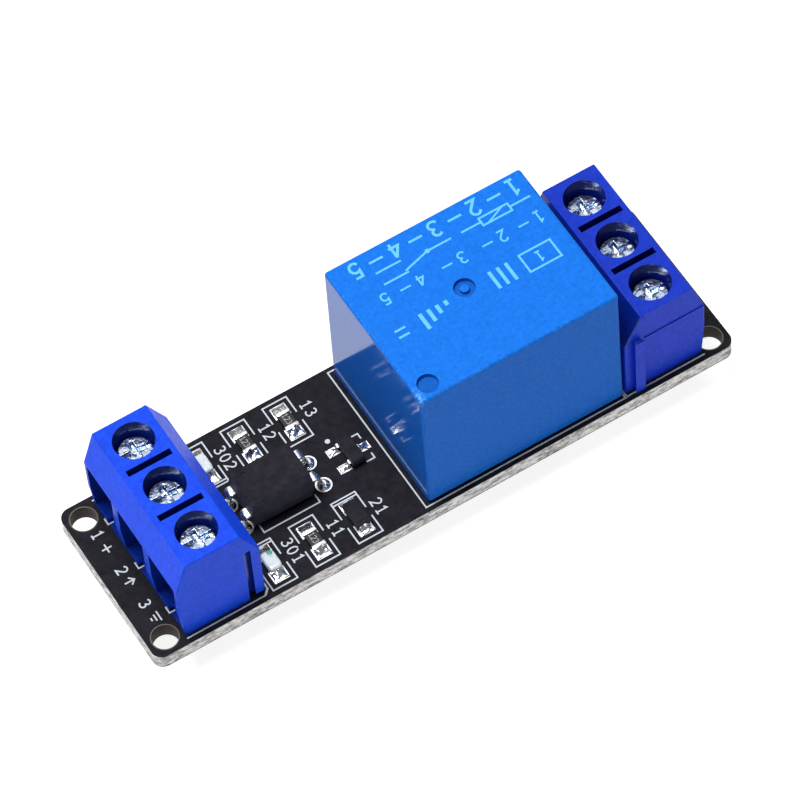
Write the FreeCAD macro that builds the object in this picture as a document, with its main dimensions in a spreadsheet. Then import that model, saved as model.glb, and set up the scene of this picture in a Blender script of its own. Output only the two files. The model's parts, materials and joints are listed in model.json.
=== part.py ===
import FreeCAD, Part
import math
import os
import re

import Sketcher

# One channel relay board: a narrow black circuit board with a screw terminal block at each end, a cube
# relay, and between them the few parts that drive its coil.
# The frame has +X along the board from the input block to the output block, +Y across it towards the back
# edge and +Z up. The origin is under the middle of the board, level with the tips of the soldered leads.

# Driving sizes in millimetres, and angles in degrees
SIZES = {
    "board_length": (56.5, "board, end to end"),
    "board_width": (16.8, "board, edge to edge"),
    "board_thickness": (1.6, "laminate"),
    "board_corner": (1.0, "radius of the board's corners"),
    "mount_diameter": (2.3, "fixing holes"),
    "mount_inset": (1.65, "fixing hole centre from the end and from the long edge"),
    "lead_drop": (3.0, "how far the lead tips stand out under the board"),
    "fit_gap": (0.05, "clearance all round a seated piece"),
    "drill_gap": (0.15, "clearance between a lead's corner and its drilled hole"),
    "pad_thickness": (0.05, "tinned pad on the board"),

    "relay_length": (19.2, "relay case along the board"),
    "relay_width": (15.5, "relay case across the board"),
    "relay_height": (15.2, "top of the relay above the board"),
    "relay_standoff": (0.3, "rim of the relay case above the board"),
    "case_wall": (0.7, "side walls of the relay case"),
    "case_roof": (0.8, "roof of the relay case"),
    "case_draft": (0.4, "moulding draft of the relay case"),
    "case_round": (0.3, "outer edges of the relay case"),
    "dimple_diameter": (1.85, "round recesses in the roof"),
    "dimple_depth": (0.4, "depth of those recesses"),
    "nub_diameter": (0.8, "moulding stub in the middle recess"),
    "nub_height": (0.3, "height of that stub"),
    "gate_x": (0.6, "middle recess from the relay centre, towards the input end"),
    "vent_inset": (1.6, "corner recess from the input end of the case"),
    "vent_inset_y": (1.45, "corner recess from the front of the case"),
    "base_recess": (0.3, "underside of the relay base above the rim of the case"),
    "base_thickness": (1.2, "relay base plate"),
    "base_foot": (1.4, "side of the square feet under the relay base"),
    "pin_inset": (1.05, "coil and contact pins from the inside of the case"),
    "coil_pin_inset": (3.3, "coil pins from the inside of the case's input end"),
    "coil_pin_side": (0.6, "square coil pins"),
    "coil_pin_rise": (5.0, "top of the coil pins above the board"),
    "contact_pin_inset": (2.3, "contact pins from the inside of the case's output end"),
    "blade_width": (1.2, "contact blades"),
    "blade_thickness": (0.4, "contact blades"),
    "yoke_gap": (0.8, "outer face of the yoke from the inside of the case"),
    "yoke_length": (10.1, "foot of the yoke along the board"),
    "yoke_thickness": (1.0, "yoke"),
    "yoke_width": (7.0, "yoke"),
    "coil_reach": (6.3, "coil axis from the outer face of the yoke"),
    "core_radius": (1.7, "iron core"),
    "pole_radius": (2.9, "head of the core"),
    "pole_height": (0.5, "head of the core"),
    "barrel_radius": (2.6, "outside of the bobbin's barrel"),
    "flange_thickness": (0.8, "flanges of the bobbin"),
    "flange_length": (9.4, "flanges along the board"),
    "flange_gap": (0.5, "flanges from the coil pins, across the board"),
    "winding_radius": (4.5, "outside of the copper winding"),
    "air_gap": (0.45, "open gap between the pole and the armature"),
    "pivot_gap": (0.15, "gap between the yoke's edge and the armature"),
    "armature_thickness": (1.0, "armature"),
    "armature_width": (8.0, "armature"),
    "armature_overhang": (0.2, "armature beyond the pole"),
    "leaf_thickness": (0.2, "contact leaf"),
    "leaf_width": (3.6, "contact leaf"),
    "leaf_tail": (3.4, "length of the leaf's tail behind the yoke"),
    "leaf_stand": (0.25, "tail of the leaf from the yoke"),
    "contact_inset": (2.5, "contact axis from the inside of the case's output end"),
    "leaf_end": (0.2, "end of the leaf beyond the silver button"),
    "contact_radius": (0.9, "silver contact buttons"),
    "contact_rise": (0.35, "moving button beyond each face of the leaf"),
    "fixed_rise": (0.3, "fixed buttons beyond their blades"),
    "closed_gap": (0.05, "clearance at the contact that is made at rest"),
    "contact_gap": (0.7, "gap at the contact that is open at rest"),
    "roof_gap": (0.2, "closed contact's arm below the roof"),

    "poles": (3, "ways of each terminal block"),
    "pitch": (5.08, "from one way to the next"),
    "input_inset": (6.6, "input screws from the input end of the board"),
    "block_height": (10.2, "top of the block above the board"),
    "block_flat": (2.55, "half of the flat top, along the board"),
    "wire_foot": (3.4, "wire side from the screws, at the board"),
    "wire_face": (3.7, "wire side from the screws, up the mouths"),
    "wire_low": (3.4, "height where the wire side starts to tuck in"),
    "wire_high": (6.85, "height where the wire side starts to slope"),
    "back_face": (4.2, "back of the block from the screws"),
    "back_high": (6.95, "height where the back starts to slope"),
    "block_round": (0.15, "outer edges of the block"),
    "floor_thickness": (0.6, "floor of the block"),
    "chamber_width": (4.1, "chamber of one way"),
    "chamber_back": (2.3, "back of the chamber from the screws"),
    "ledge_thickness": (0.6, "ledge that carries the screw's head"),
    "well_diameter": (3.6, "screw wells"),
    "head_sink": (1.7, "screw head below the top of the block"),
    "head_diameter": (3.3, "screw head"),
    "head_height": (1.1, "screw head"),
    "head_gap": (0.05, "screw head above its ledge"),
    "head_chamfer": (0.2, "edge of the screw head"),
    "shank_diameter": (2.4, "threaded shank"),
    "shank_chamfer": (0.3, "tip of the shank"),
    "ledge_gap": (0.15, "clearance of the shank in its ledge"),
    "thread_gap": (0.05, "clearance of the shank in the clamp"),
    "drive_width": (0.6, "slot and cross in the screw head"),
    "slot_depth": (0.45, "slot across the screw head"),
    "cross_depth": (0.75, "cross in the screw head"),
    "cross_length": (2.2, "cross in the screw head"),
    "clamp_width": (3.8, "clamp across its way"),
    "clamp_front": (2.1, "clamp towards the wire side of the screw"),
    "clamp_back": (1.3, "clamp behind the screw"),
    "clamp_wall": (0.45, "bottom and sides of the clamp"),
    "clamp_roof": (0.8, "threaded top of the clamp"),
    "clamp_lift": (0.1, "open clamp above the floor"),
    "wire_gap": (2.1, "room for the wire in the open clamp"),
    "bar_thickness": (0.6, "contact bar"),
    "bar_slack": (0.1, "clamp's roof above the bar when open"),
    "bar_side": (0.15, "clearance of the bar in the clamp, each side"),
    "leg_gap": (0.15, "soldered leg behind the clamp"),
    "leg_thickness": (0.8, "soldered leg"),
    "leg_width": (0.9, "soldered leg"),
    "divider_slot": (4.15, "length of the slots between the wells"),
    "divider_width": (0.6, "width of those slots"),
    "divider_depth": (3.2, "depth of those slots"),
    "notch_length": (0.8, "notch in the floor at each mouth"),
    "notch_width": (0.65, "notch in the floor at each mouth"),
    "dovetail_x": (3.0, "dovetail from the screws, towards the back"),
    "dovetail_neck": (0.6, "mouth of the dovetail slot"),
    "dovetail_width": (1.05, "inside of the dovetail slot"),
    "dovetail_depth": (0.55, "depth of the dovetail slot"),
    "dovetail_height": (7.4, "height of the dovetail slot"),
    "dovetail_gap": (0.05, "how much smaller the tongue is all round"),
    "rib_lift": (0.5, "lower end of the rib behind the dovetail slot, above the board"),
    "seam_height": (6.87, "height where the tongue end steps back"),
    "seam_reach": (2.3, "that step from the screws, towards the back"),
    "seam_depth": (0.08, "depth of that step"),

    "block_to_lamps": (1.73, "column of the lamps from the back of the input block"),
    "column_pitch": (4.12, "from one column of small parts to the next"),
    "row_y": (5.61, "rows of small parts from the board's middle line"),
    "chip_length": (2.0, "resistors and lamps"),
    "chip_width": (1.25, "resistors and lamps"),
    "chip_height": (0.5, "resistors"),
    "cap_length": (0.4, "metal ends of the resistors and lamps"),
    "cap_skin": (0.05, "metal beyond the ceramic"),
    "lamp_base": (0.35, "carrier of a lamp"),
    "lamp_height": (0.8, "top of a lamp's lens"),
    "lens_length": (1.8, "foot of a lamp's lens"),
    "lens_draft": (8.0, "sides of a lamp's lens"),
    "diode_length": (2.4, "diode body"),
    "diode_width": (1.4, "diode body"),
    "diode_height": (1.0, "diode body"),
    "diode_span": (3.5, "diode over its leads"),
    "diode_lead": (0.6, "width of the diode's leads"),
    "pad_near": (0.6, "near end of a surface pad from its part's centre"),
    "pad_far": (1.85, "far end of a surface pad from its part's centre"),
    "pad_width": (1.45, "width of a surface pad"),
    "fillet_height": (0.4, "solder against the end of a part"),
    "fillet_toe": (0.04, "solder at the end of its pad"),
    "column_to_transistor": (2.83, "transistor from the last column of small parts"),
    "transistor_to_relay": (2.9, "relay's input end from the transistor"),
    "relay_to_block": (0.3, "back of the output block from the relay's output end"),
    "transistor_length": (2.9, "transistor body across the board"),
    "transistor_width": (1.3, "transistor body along the board"),
    "transistor_height": (1.0, "transistor body"),
    "transistor_pitch": (1.9, "between the transistor's two near leads"),
    "transistor_reach": (1.22, "tips of the transistor's leads from its centre"),
    "transistor_lead": (0.42, "width of the transistor's leads"),
    "small_pad_reach": (1.75, "far end of a transistor pad from its centre"),
    "small_pad_width": (0.8, "width of a transistor pad"),
    "thin_lead": (0.13, "thickness of the transistor's and the diode's leads"),
    "body_draft": (8.0, "draft of the moulded bodies"),
    "coupler_shift": (0.35, "optocoupler from the middle column, towards the input end"),
    "coupler_y": (0.1, "optocoupler from the middle line, towards the front"),
    "body_shift": (0.35, "body of the optocoupler from its holes, towards the input end"),
    "coupler_length": (6.0, "optocoupler along the board"),
    "coupler_width": (4.1, "optocoupler across the board"),
    "coupler_height": (3.5, "optocoupler body"),
    "coupler_standoff": (0.3, "optocoupler body above the board"),
    "coupler_pitch": (2.54, "between the leads of one side"),
    "coupler_span": (7.62, "between the two rows of leads"),
    "coupler_lead": (0.25, "thickness of the optocoupler's leads"),
    "shoulder_width": (0.95, "wide part of those leads"),
    "shoulder_drop": (1.1, "how far the wide part goes down"),
    "tail_width": (0.5, "narrow part of those leads"),
    "mark_diameter": (0.8, "dimple that marks the first lead"),
    "mark_depth": (0.1, "depth of that dimple"),
    "ring_width": (0.3, "pad round a drilled hole"),
    "solder_radius": (0.95, "solder cone at the board's underside"),
    "solder_tip": (0.62, "solder cone at its lower end"),
    "solder_height": (1.5, "solder cone"),

    "line_width": (0.13, "printed lines"),
    "line_height": (0.03, "printed lines"),
    "frame_length": (4.53, "printed frame round a small part, across the board"),
    "frame_width": (2.33, "printed frame round a small part, along the board"),
    "frame_gap": (0.93, "gap in the long sides of those frames"),
    "frame_bar": (0.3, "second line at the marked end of a frame"),
    "wire_margin": (0.09, "printed outline from the wire side of a terminal block"),
    "tick_y": (0.08, "printed tick in a notch from the middle of its way"),
    "tick_run": (0.75, "what shows of that outline beside a notch"),
    "block_margin": (0.28, "printed outline from the other sides of a terminal block"),
    "block_clip": (0.5, "clipped corner of that outline"),
    "relay_margin": (0.2, "printed outline from the relay's sides and output end"),
    "relay_margin_end": (0.4, "printed outline from the relay's input end"),
    "coupler_margin": (0.48, "printed bracket from the optocoupler's sides"),
    "coupler_bracket": (0.9, "arms of that bracket"),
    "coupler_bracket_x": (2.7, "those arms from the optocoupler's centre"),
    "transistor_arm": (0.7, "arms of the printed corners at the transistor, along the board"),
    "transistor_arm_y": (0.5, "arms of those corners across the board"),
    "transistor_corner_x": (1.47, "those corners from the transistor's centre"),
    "transistor_corner_y": (1.4, "those corners from the transistor's centre"),
    "dot_diameter": (0.45, "printed dot beside the transistor"),
    "dot_x": (1.03, "dot from the transistor's centre, towards the input end"),
    "dot_y": (2.12, "dot from the transistor's centre, towards the back"),
}

doc = FreeCAD.newDocument("RelayBoard")
sheet = doc.addObject("Spreadsheet::Sheet", "Sizes")
for row, (alias, (number, meaning)) in enumerate(SIZES.items(), start=1):
    sheet.set(f"A{row}", alias)
    sheet.set(f"B{row}", str(number))
    sheet.set(f"C{row}", meaning)
    sheet.setAlias(f"B{row}", alias)
doc.recompute()

WORD = re.compile(r"[a-z][a-z_]*")
UP = FreeCAD.Vector(0, 0, 1)
pieces = []


def formula(text):
    """Spells a formula with the sheet's cells in it, so that board_length becomes Sizes.board_length."""
    return WORD.sub(lambda word: f"Sizes.{word.group()}" if word.group() in SIZES else word.group(), text)


def measure(text):
    """The value of a formula."""
    return float(sheet.evalExpression(formula(text)))


def bind(item, prop, text):
    """Ties one property to a formula of the sheet's cells."""
    item.setExpression(prop, formula(text))


def settle(item, place, turn=0):
    """Puts a finished piece at a place, turned about the vertical."""
    item.Placement = FreeCAD.Placement(FreeCAD.Vector(), FreeCAD.Rotation(UP, turn))
    for axis, text in zip("xyz", place):
        bind(item, f"Placement.Base.{axis}", text)


def piece(item, label):
    """Counts an object as one named piece of the board."""
    item.Label = label
    pieces.append(item)
    return item


# Plain solids and joins

def block(name, corner, span):
    """A rectangular solid from its low corner and its three lengths."""
    item = doc.addObject("Part::Box", name)
    for prop, text in zip(("Length", "Width", "Height"), span):
        bind(item, prop, text)
    for axis, text in zip("xyz", corner):
        bind(item, f"Placement.Base.{axis}", text)
    return item


def slab(name, middle, foot, span):
    """A rectangular solid centred on middle in X and Y, that stands on the height foot."""
    corner = [f"({text}) - ({length}) / 2" for text, length in zip(middle, span)]
    return block(name, corner + [foot], span)


def rod(name, middle, foot, radius, height):
    """An upright cylinder."""
    item = doc.addObject("Part::Cylinder", name)
    bind(item, "Radius", radius)
    bind(item, "Height", height)
    for axis, text in zip("xyz", list(middle) + [foot]):
        bind(item, f"Placement.Base.{axis}", text)
    return item


def join(name, items):
    """Several solids as one object: what touches becomes one solid, what stands apart stays apart."""
    item = doc.addObject("Part::MultiFuse", name)
    item.Shapes = items
    item.Refine = True
    return item


def group(name, items):
    """Several solids of one piece that stay separate."""
    item = doc.addObject("Part::Compound", name)
    item.Links = items
    return item


def cut(name, base, tools):
    """A solid less one or several others."""
    item = doc.addObject("Part::Cut", name)
    item.Base = base
    item.Tool = tools[0] if len(tools) == 1 else join(name + "_tools", tools)
    item.Refine = True
    return item


# Sketched solids

def new_body(name):
    """An empty body for a piece that is drawn and padded."""
    return doc.addObject("PartDesign::Body", name)


def draw(body, role, height="0"):
    """A sketch on one of the body's own origin planes, lifted off it by height."""
    drawing = body.newObject("Sketcher::SketchObject", body.Name + "_sketch")
    plane = next(item for item in body.Origin.OriginFeatures if item.Role == role)
    drawing.AttachmentSupport = (plane, [""])
    drawing.MapMode = "FlatFace"
    bind(drawing, "AttachmentOffset.Base.z", height)
    return drawing


def tie(drawing, edge, end, x, y):
    """Dimensions one point of a sketch from its origin."""
    for kind, text in (("DistanceX", x), ("DistanceY", y)):
        index = drawing.addConstraint(Sketcher.Constraint(kind, -1, 1, edge, end, measure(text)))
        bind(drawing, f"Constraints[{index}]", text)


def outline(drawing, corners):
    """A closed outline of straight lines through the corners."""
    first = drawing.GeometryCount
    spots = [FreeCAD.Vector(measure(x), measure(y), 0) for x, y in corners]
    for start, end in zip(spots, spots[1:] + spots[:1]):
        drawing.addGeometry(Part.LineSegment(start, end), False)
    for index, (x, y) in enumerate(corners):
        following = first + (index + 1) % len(corners)
        drawing.addConstraint(Sketcher.Constraint("Coincident", first + index, 2, following, 1))
        tie(drawing, first + index, 1, x, y)


def rectangle(drawing, low, high):
    """A rectangle between two corners."""
    outline(drawing, [low, (high[0], low[1]), high, (low[0], high[1])])


def centred(drawing, middle, length, width):
    """A rectangle about its middle."""
    x, y = middle
    rectangle(drawing, (f"({x}) - ({length}) / 2", f"({y}) - ({width}) / 2"),
              (f"({x}) + ({length}) / 2", f"({y}) + ({width}) / 2"))


def ring(drawing, middle, radius):
    """A circle about its middle."""
    x, y = middle
    centre = FreeCAD.Vector(measure(x), measure(y), 0)
    edge = drawing.addGeometry(Part.Circle(centre, UP, measure(radius)), False)
    tie(drawing, edge, 3, x, y)
    index = drawing.addConstraint(Sketcher.Constraint("Radius", edge, measure(radius)))
    bind(drawing, f"Constraints[{index}]", radius)


def pad(body, drawing, length, side="One side", taper="0", downward=False):
    """Raises a sketch into a solid."""
    item = body.newObject("PartDesign::Pad", body.Name + "_pad")
    item.Profile = drawing
    item.SideType = side
    item.Reversed = downward
    bind(item, "Length", length)
    bind(item, "TaperAngle", taper)
    return item


def pocket(body, drawing, depth, upward=False):
    """Sinks a sketch into the solid. It goes down, or up where the sketch lies under the material."""
    item = body.newObject("PartDesign::Pocket", body.Name + "_pocket")
    item.Profile = drawing
    item.Reversed = upward
    bind(item, "Length", depth)
    return item


def round_edges(body, feature, radius, wanted):
    """Rounds the edges of a feature that pass a test on their box."""
    doc.recompute()
    names = [f"Edge{index}" for index, edge in enumerate(feature.Shape.Edges, start=1)
             if wanted(edge.BoundBox)]
    item = body.newObject("PartDesign::Fillet", body.Name + "_fillet")
    item.Base = (feature, names)
    bind(item, "Radius", radius)
    return item


BOARD_TOP = "lead_drop + board_thickness"
UNDER = "-(lead_drop + board_thickness)"
ROW_COUNT = int(measure("poles"))
WAYS = [index - (ROW_COUNT - 1) / 2 for index in range(ROW_COUNT)]

# What stands along the board, each from the one before it
INPUT_X = "(input_inset - board_length / 2)"
LAMP_X = f"({INPUT_X} + back_face + block_to_lamps)"
COUPLER_X = f"({LAMP_X} + column_pitch - coupler_shift)"
TRANSISTOR_X = f"({LAMP_X} + 2 * column_pitch + column_to_transistor)"
RELAY_X = f"({TRANSISTOR_X} + transistor_to_relay + relay_length / 2)"
OUTPUT_X = f"({RELAY_X} + relay_length / 2 + relay_to_block + back_face)"

# What stands inside the relay, from its centre
INNER_LENGTH = "(relay_length / 2 - case_wall)"
PIN_ROW = "(relay_width / 2 - case_wall - pin_inset)"
COIL_PIN_X = f"({INNER_LENGTH} - coil_pin_inset)"
CONTACT_PIN_X = f"({INNER_LENGTH} - contact_pin_inset)"
CONTACT_X = f"({INNER_LENGTH} - contact_inset)"
YOKE_BACK = f"({INNER_LENGTH} - yoke_gap)"
COIL_X = f"({YOKE_BACK} - coil_reach)"

# Where each soldered lead goes through the board, with its section along and across the board
LEG_X = "clamp_back + leg_gap + leg_thickness / 2"
COMMON_X = f"(yoke_thickness / 2 - {YOKE_BACK})"

LEG = ("leg_thickness", "leg_width")
leads = [(f"{INPUT_X} + {LEG_X}", f"{way} * pitch", LEG) for way in WAYS]
leads += [(f"{OUTPUT_X} - ({LEG_X})", f"{way} * pitch", LEG) for way in WAYS]
leads.append((f"{RELAY_X} + {COMMON_X}", "0", ("blade_thickness", "blade_width")))
for side in (-1, 1):
    leads.append((f"{RELAY_X} - {COIL_PIN_X}", f"{side} * {PIN_ROW}", ("coil_pin_side", "coil_pin_side")))
    leads.append((f"{RELAY_X} + {CONTACT_PIN_X}", f"{side} * {PIN_ROW}", ("blade_width", "blade_thickness")))
coupler_leads = []
for end in (-1, 1):
    for side in (-1, 1):
        coupler_leads.append((f"{end} * coupler_span / 2 + {COUPLER_X}",
                              f"{side} * coupler_pitch / 2 - coupler_y", ("coupler_lead", "tail_width")))
leads += coupler_leads


def hole_radius(section):
    """The drilled hole clears the corners of the lead that goes through it."""
    return f"sqrt({section[0]} ^ 2 + {section[1]} ^ 2) / 2 + drill_gap"


# Circuit board: one sheet of laminate, drilled for its screws and for every lead

def make_board():
    body = new_body("board")
    plan = draw(body, "XY_Plane")
    centred(plan, ("0", "0"), "board_length", "board_width")
    sheet_pad = pad(body, plan, "board_thickness")
    round_edges(body, sheet_pad, "board_corner", lambda box: box.ZLength > box.XLength + box.YLength)
    holes = draw(body, "XY_Plane", "board_thickness")
    for end in (-1, 1):
        for side in (-1, 1):
            middle = (f"{end} * (board_length / 2 - mount_inset)",
                      f"{side} * (board_width / 2 - mount_inset)")
            ring(holes, middle, "mount_diameter / 2")
    pocket(body, holes, "board_thickness + 1")
    drills = draw(body, "XY_Plane", "board_thickness")
    for x, y, section in leads:
        ring(drills, (x, y), hole_radius(section))
    pocket(body, drills, "board_thickness + 1")
    settle(body, ("0", "0", "lead_drop"))
    piece(body, "circuit_board")


# Relay: heights above the board, from the roof down and from the base up

RELAY = (RELAY_X, "0", BOARD_TOP)
BASE_LOW = "relay_standoff + base_recess"
BASE_TOP = f"({BASE_LOW} + base_thickness)"
ROOF = "(relay_height - case_roof)"
CLOSED_ARM = f"({ROOF} - roof_gap - blade_thickness)"
LEAF_LOW = f"({CLOSED_ARM} - fixed_rise - closed_gap - contact_rise - leaf_thickness)"
ARMATURE_LOW = f"({LEAF_LOW} - armature_thickness)"
POLE_LOW = f"({ARMATURE_LOW} - air_gap - pole_height)"
FOOT_TOP = f"({BASE_TOP} + yoke_thickness)"
OPEN_FACE = f"({LEAF_LOW} - contact_rise - contact_gap)"
OPEN_ARM = f"({OPEN_FACE} - fixed_rise - blade_thickness)"


def make_case():
    """The blue case: a drafted box, open below, with two round recesses in its roof."""
    body = new_body("case")
    plan = draw(body, "XY_Plane", "relay_standoff")
    centred(plan, ("0", "0"), "relay_length", "relay_width")
    outside = pad(body, plan, "relay_height - relay_standoff", taper="-case_draft")
    foot = measure("relay_standoff + case_round")
    round_edges(body, outside, "case_round", lambda box: box.ZMax > foot)
    inside = draw(body, "XY_Plane", "relay_standoff")
    centred(inside, ("0", "0"), "relay_length - 2 * case_wall", "relay_width - 2 * case_wall")
    pocket(body, inside, "relay_height - relay_standoff - case_roof", upward=True)
    dimples = draw(body, "XY_Plane", "relay_height")
    ring(dimples, ("-gate_x", "0"), "dimple_diameter / 2")
    ring(dimples, ("vent_inset - relay_length / 2", "vent_inset_y - relay_width / 2"), "dimple_diameter / 2")
    pocket(body, dimples, "dimple_depth")
    stub = draw(body, "XY_Plane", "relay_height - dimple_depth")
    ring(stub, ("-gate_x", "0"), "nub_diameter / 2")
    pad(body, stub, "nub_height")
    settle(body, RELAY)
    piece(body, "relay_case")


def make_relay_base():
    """The plate that closes the case, on four feet, with a slot for each lead."""
    length = "relay_length - 2 * case_wall - 2 * fit_gap"
    width = "relay_width - 2 * case_wall - 2 * fit_gap"
    plate = slab("base_plate", ("0", "0"), BASE_LOW, (length, width, "base_thickness"))
    feet = []
    for end in (-1, 1):
        for side in (-1, 1):
            middle = (f"{end} * (({length}) - base_foot) / 2", f"{side} * (({width}) - base_foot) / 2")
            feet.append(slab("base_foot_block", middle, "0", ("base_foot", "base_foot", BASE_LOW)))
    slots = [slab("common_slot", (COMMON_X, "0"), "0",
                  ("blade_thickness + 2 * fit_gap", "blade_width + 2 * fit_gap", BASE_TOP + " + 1"))]
    for side in (-1, 1):
        row = f"{side} * {PIN_ROW}"
        slots.append(slab("coil_slot", (f"-{COIL_PIN_X}", row), "0",
                          ("coil_pin_side + 2 * fit_gap", "coil_pin_side + 2 * fit_gap", BASE_TOP + " + 1")))
        slots.append(slab("contact_slot", (CONTACT_PIN_X, row), "0",
                          ("blade_width + 2 * fit_gap", "blade_thickness + 2 * fit_gap", BASE_TOP + " + 1")))
    item = cut("relay_base_cut", join("relay_base_blank", [plate] + feet), slots)
    settle(item, RELAY)
    piece(item, "relay_base")


def make_coil():
    """Bobbin, copper winding and iron core, one above the other on the yoke's foot."""
    middle = (f"-{COIL_X}", "0")
    across = f"2 * {PIN_ROW} - coil_pin_side - 2 * flange_gap"
    flange = ("flange_length", across, "flange_thickness")
    barrel = rod("barrel", middle, FOOT_TOP, "barrel_radius", f"{POLE_LOW} - {FOOT_TOP}")
    lower = slab("lower_flange", middle, FOOT_TOP, flange)
    upper = slab("upper_flange", middle, f"{POLE_LOW} - flange_thickness", flange)
    bore = rod("bobbin_bore", middle, BASE_TOP, "core_radius + fit_gap", ROOF)
    bobbin = cut("bobbin_cut", join("bobbin_blank", [lower, barrel, upper]), [bore])
    settle(bobbin, RELAY)
    piece(bobbin, "relay_bobbin")

    wound = f"{POLE_LOW} - {FOOT_TOP} - 2 * flange_thickness"
    bundle = rod("bundle", middle, f"{FOOT_TOP} + flange_thickness", "winding_radius", wound)
    tube = rod("bundle_bore", middle, FOOT_TOP, "barrel_radius", ROOF)
    winding = cut("winding_cut", bundle, [tube])
    settle(winding, RELAY)
    piece(winding, "relay_winding")

    stem = rod("stem", middle, BASE_TOP, "core_radius", f"{POLE_LOW} - {BASE_TOP}")
    head = rod("pole_head", middle, POLE_LOW, "pole_radius", "pole_height")
    core = join("core_join", [stem, head])
    settle(core, RELAY)
    piece(core, "relay_core")

    length = f"coil_pin_rise + {BOARD_TOP}"
    pins = [slab("coil_pin", (f"-{COIL_PIN_X}", f"{side} * {PIN_ROW}"), UNDER,
                 ("coil_pin_side", "coil_pin_side", length)) for side in (-1, 1)]
    pair = group("coil_pin_pair", pins)
    settle(pair, RELAY)
    piece(pair, "relay_coil_pins")


def make_yoke():
    """The bent iron yoke: a foot under the coil and a leg up the input end, with the common lead below."""
    foot = block("yoke_foot", (f"-{YOKE_BACK}", "-yoke_width / 2", BASE_TOP),
                 ("yoke_length", "yoke_width", "yoke_thickness"))
    leg = block("yoke_leg", (f"-{YOKE_BACK}", "-yoke_width / 2", BASE_TOP),
                ("yoke_thickness", "yoke_width", f"{ARMATURE_LOW} - pivot_gap - {BASE_TOP}"))
    hole = rod("yoke_hole", (f"-{COIL_X}", "0"), "0", "core_radius + fit_gap", ROOF)
    yoke = cut("yoke_cut", join("yoke_blank", [foot, leg]), [hole])
    settle(yoke, RELAY)
    piece(yoke, "relay_yoke")

    blade = slab("common_blade", (COMMON_X, "0"), UNDER,
                 ("blade_thickness", "blade_width", f"{BASE_TOP} + {BOARD_TOP}"))
    common = group("common_lead", [blade])
    settle(common, RELAY)
    piece(common, "relay_common_pin")


def make_armature():
    """The rocking plate over the pole, the leaf riveted on it and the leaf's silver button."""
    reach = "coil_reach + pole_radius + armature_overhang"
    plate = block("armature_plate", (f"-{YOKE_BACK}", "-armature_width / 2", ARMATURE_LOW),
                  (reach, "armature_width", "armature_thickness"))
    armature = group("armature_group", [plate])
    settle(armature, RELAY)
    piece(armature, "relay_armature")

    behind = f"-({YOKE_BACK} + leaf_stand + leaf_thickness)"
    strip = block("leaf_strip", (behind, "-leaf_width / 2", LEAF_LOW),
                  (f"{CONTACT_X} + contact_radius + leaf_end - ({behind})", "leaf_width", "leaf_thickness"))
    tail = block("leaf_tail_strip", (behind, "-leaf_width / 2", f"{LEAF_LOW} + leaf_thickness - leaf_tail"),
                 ("leaf_thickness", "leaf_width", "leaf_tail"))
    eye = rod("leaf_eye", (CONTACT_X, "0"), "0", "contact_radius / 2", ROOF)
    leaf = cut("leaf_cut", join("leaf_blank", [strip, tail]), [eye])
    settle(leaf, RELAY)
    piece(leaf, "relay_contact_leaf")

    low = f"{LEAF_LOW} - contact_rise"
    shank = rod("button_shank", (CONTACT_X, "0"), low, "contact_radius / 2",
                "leaf_thickness + 2 * contact_rise")
    lower = rod("button_lower", (CONTACT_X, "0"), low, "contact_radius", "contact_rise")
    upper = rod("button_upper", (CONTACT_X, "0"), f"{LEAF_LOW} + leaf_thickness", "contact_radius",
                "contact_rise")
    button = join("button_join", [shank, lower, upper])
    settle(button, RELAY)
    piece(button, "relay_moving_contact")


def make_fixed_contact(label, side, arm_low, face_low):
    """One fixed contact: a blade up the case's side, an arm to the middle and its silver button."""
    upright = slab(label + "_upright", (CONTACT_PIN_X, f"{side} * {PIN_ROW}"), UNDER,
                   ("blade_width", "blade_thickness", f"{arm_low} + blade_thickness + {BOARD_TOP}"))
    reach = f"{PIN_ROW} + blade_thickness / 2 + contact_radius"
    start = "-contact_radius" if side > 0 else f"-({PIN_ROW} + blade_thickness / 2)"
    arm = block(label + "_arm", (f"{CONTACT_PIN_X} - blade_width / 2", start, arm_low),
                ("blade_width", reach, "blade_thickness"))
    blade = join(label + "_blade", [upright, arm])
    settle(blade, RELAY)
    piece(blade, label)
    return rod(label + "_button", (CONTACT_X, "0"), face_low, "contact_radius", "fixed_rise")


def make_fixed_contacts():
    closed = make_fixed_contact("relay_closed_contact", 1, CLOSED_ARM, f"{CLOSED_ARM} - fixed_rise")
    opened = make_fixed_contact("relay_open_contact", -1, OPEN_ARM, f"{OPEN_FACE} - fixed_rise")
    buttons = group("fixed_buttons", [closed, opened])
    settle(buttons, RELAY)
    piece(buttons, "relay_fixed_buttons")


# Terminal blocks: each is drawn about the middle screw, on the board, with its wire side towards -X

HEAD_LOW = "(block_height - head_sink - head_height)"
LEDGE_TOP = f"({HEAD_LOW} - head_gap)"
CEILING = f"({LEDGE_TOP} - ledge_thickness)"
CLAMP_LOW = "(floor_thickness + clamp_lift)"
BAR_LOW = f"({CLAMP_LOW} + clamp_wall + wire_gap)"
BAR_TOP = f"({BAR_LOW} + bar_thickness)"
CLAMP_TOP = f"({BAR_TOP} + bar_slack + clamp_roof)"


def dovetail(drawing, start, direction, shrink):
    """The dovetail's plan, from the end face of the block into or out of it."""
    neck = f"(dovetail_neck / 2 - {shrink})"
    wide = f"(dovetail_width / 2 - {shrink})"
    far = f"{start} + {direction} * (dovetail_depth - {shrink})"
    outline(drawing, [(f"dovetail_x - {neck}", start), (f"dovetail_x + {neck}", start),
                      (f"dovetail_x + {wide}", far), (f"dovetail_x - {wide}", far)])


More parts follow.
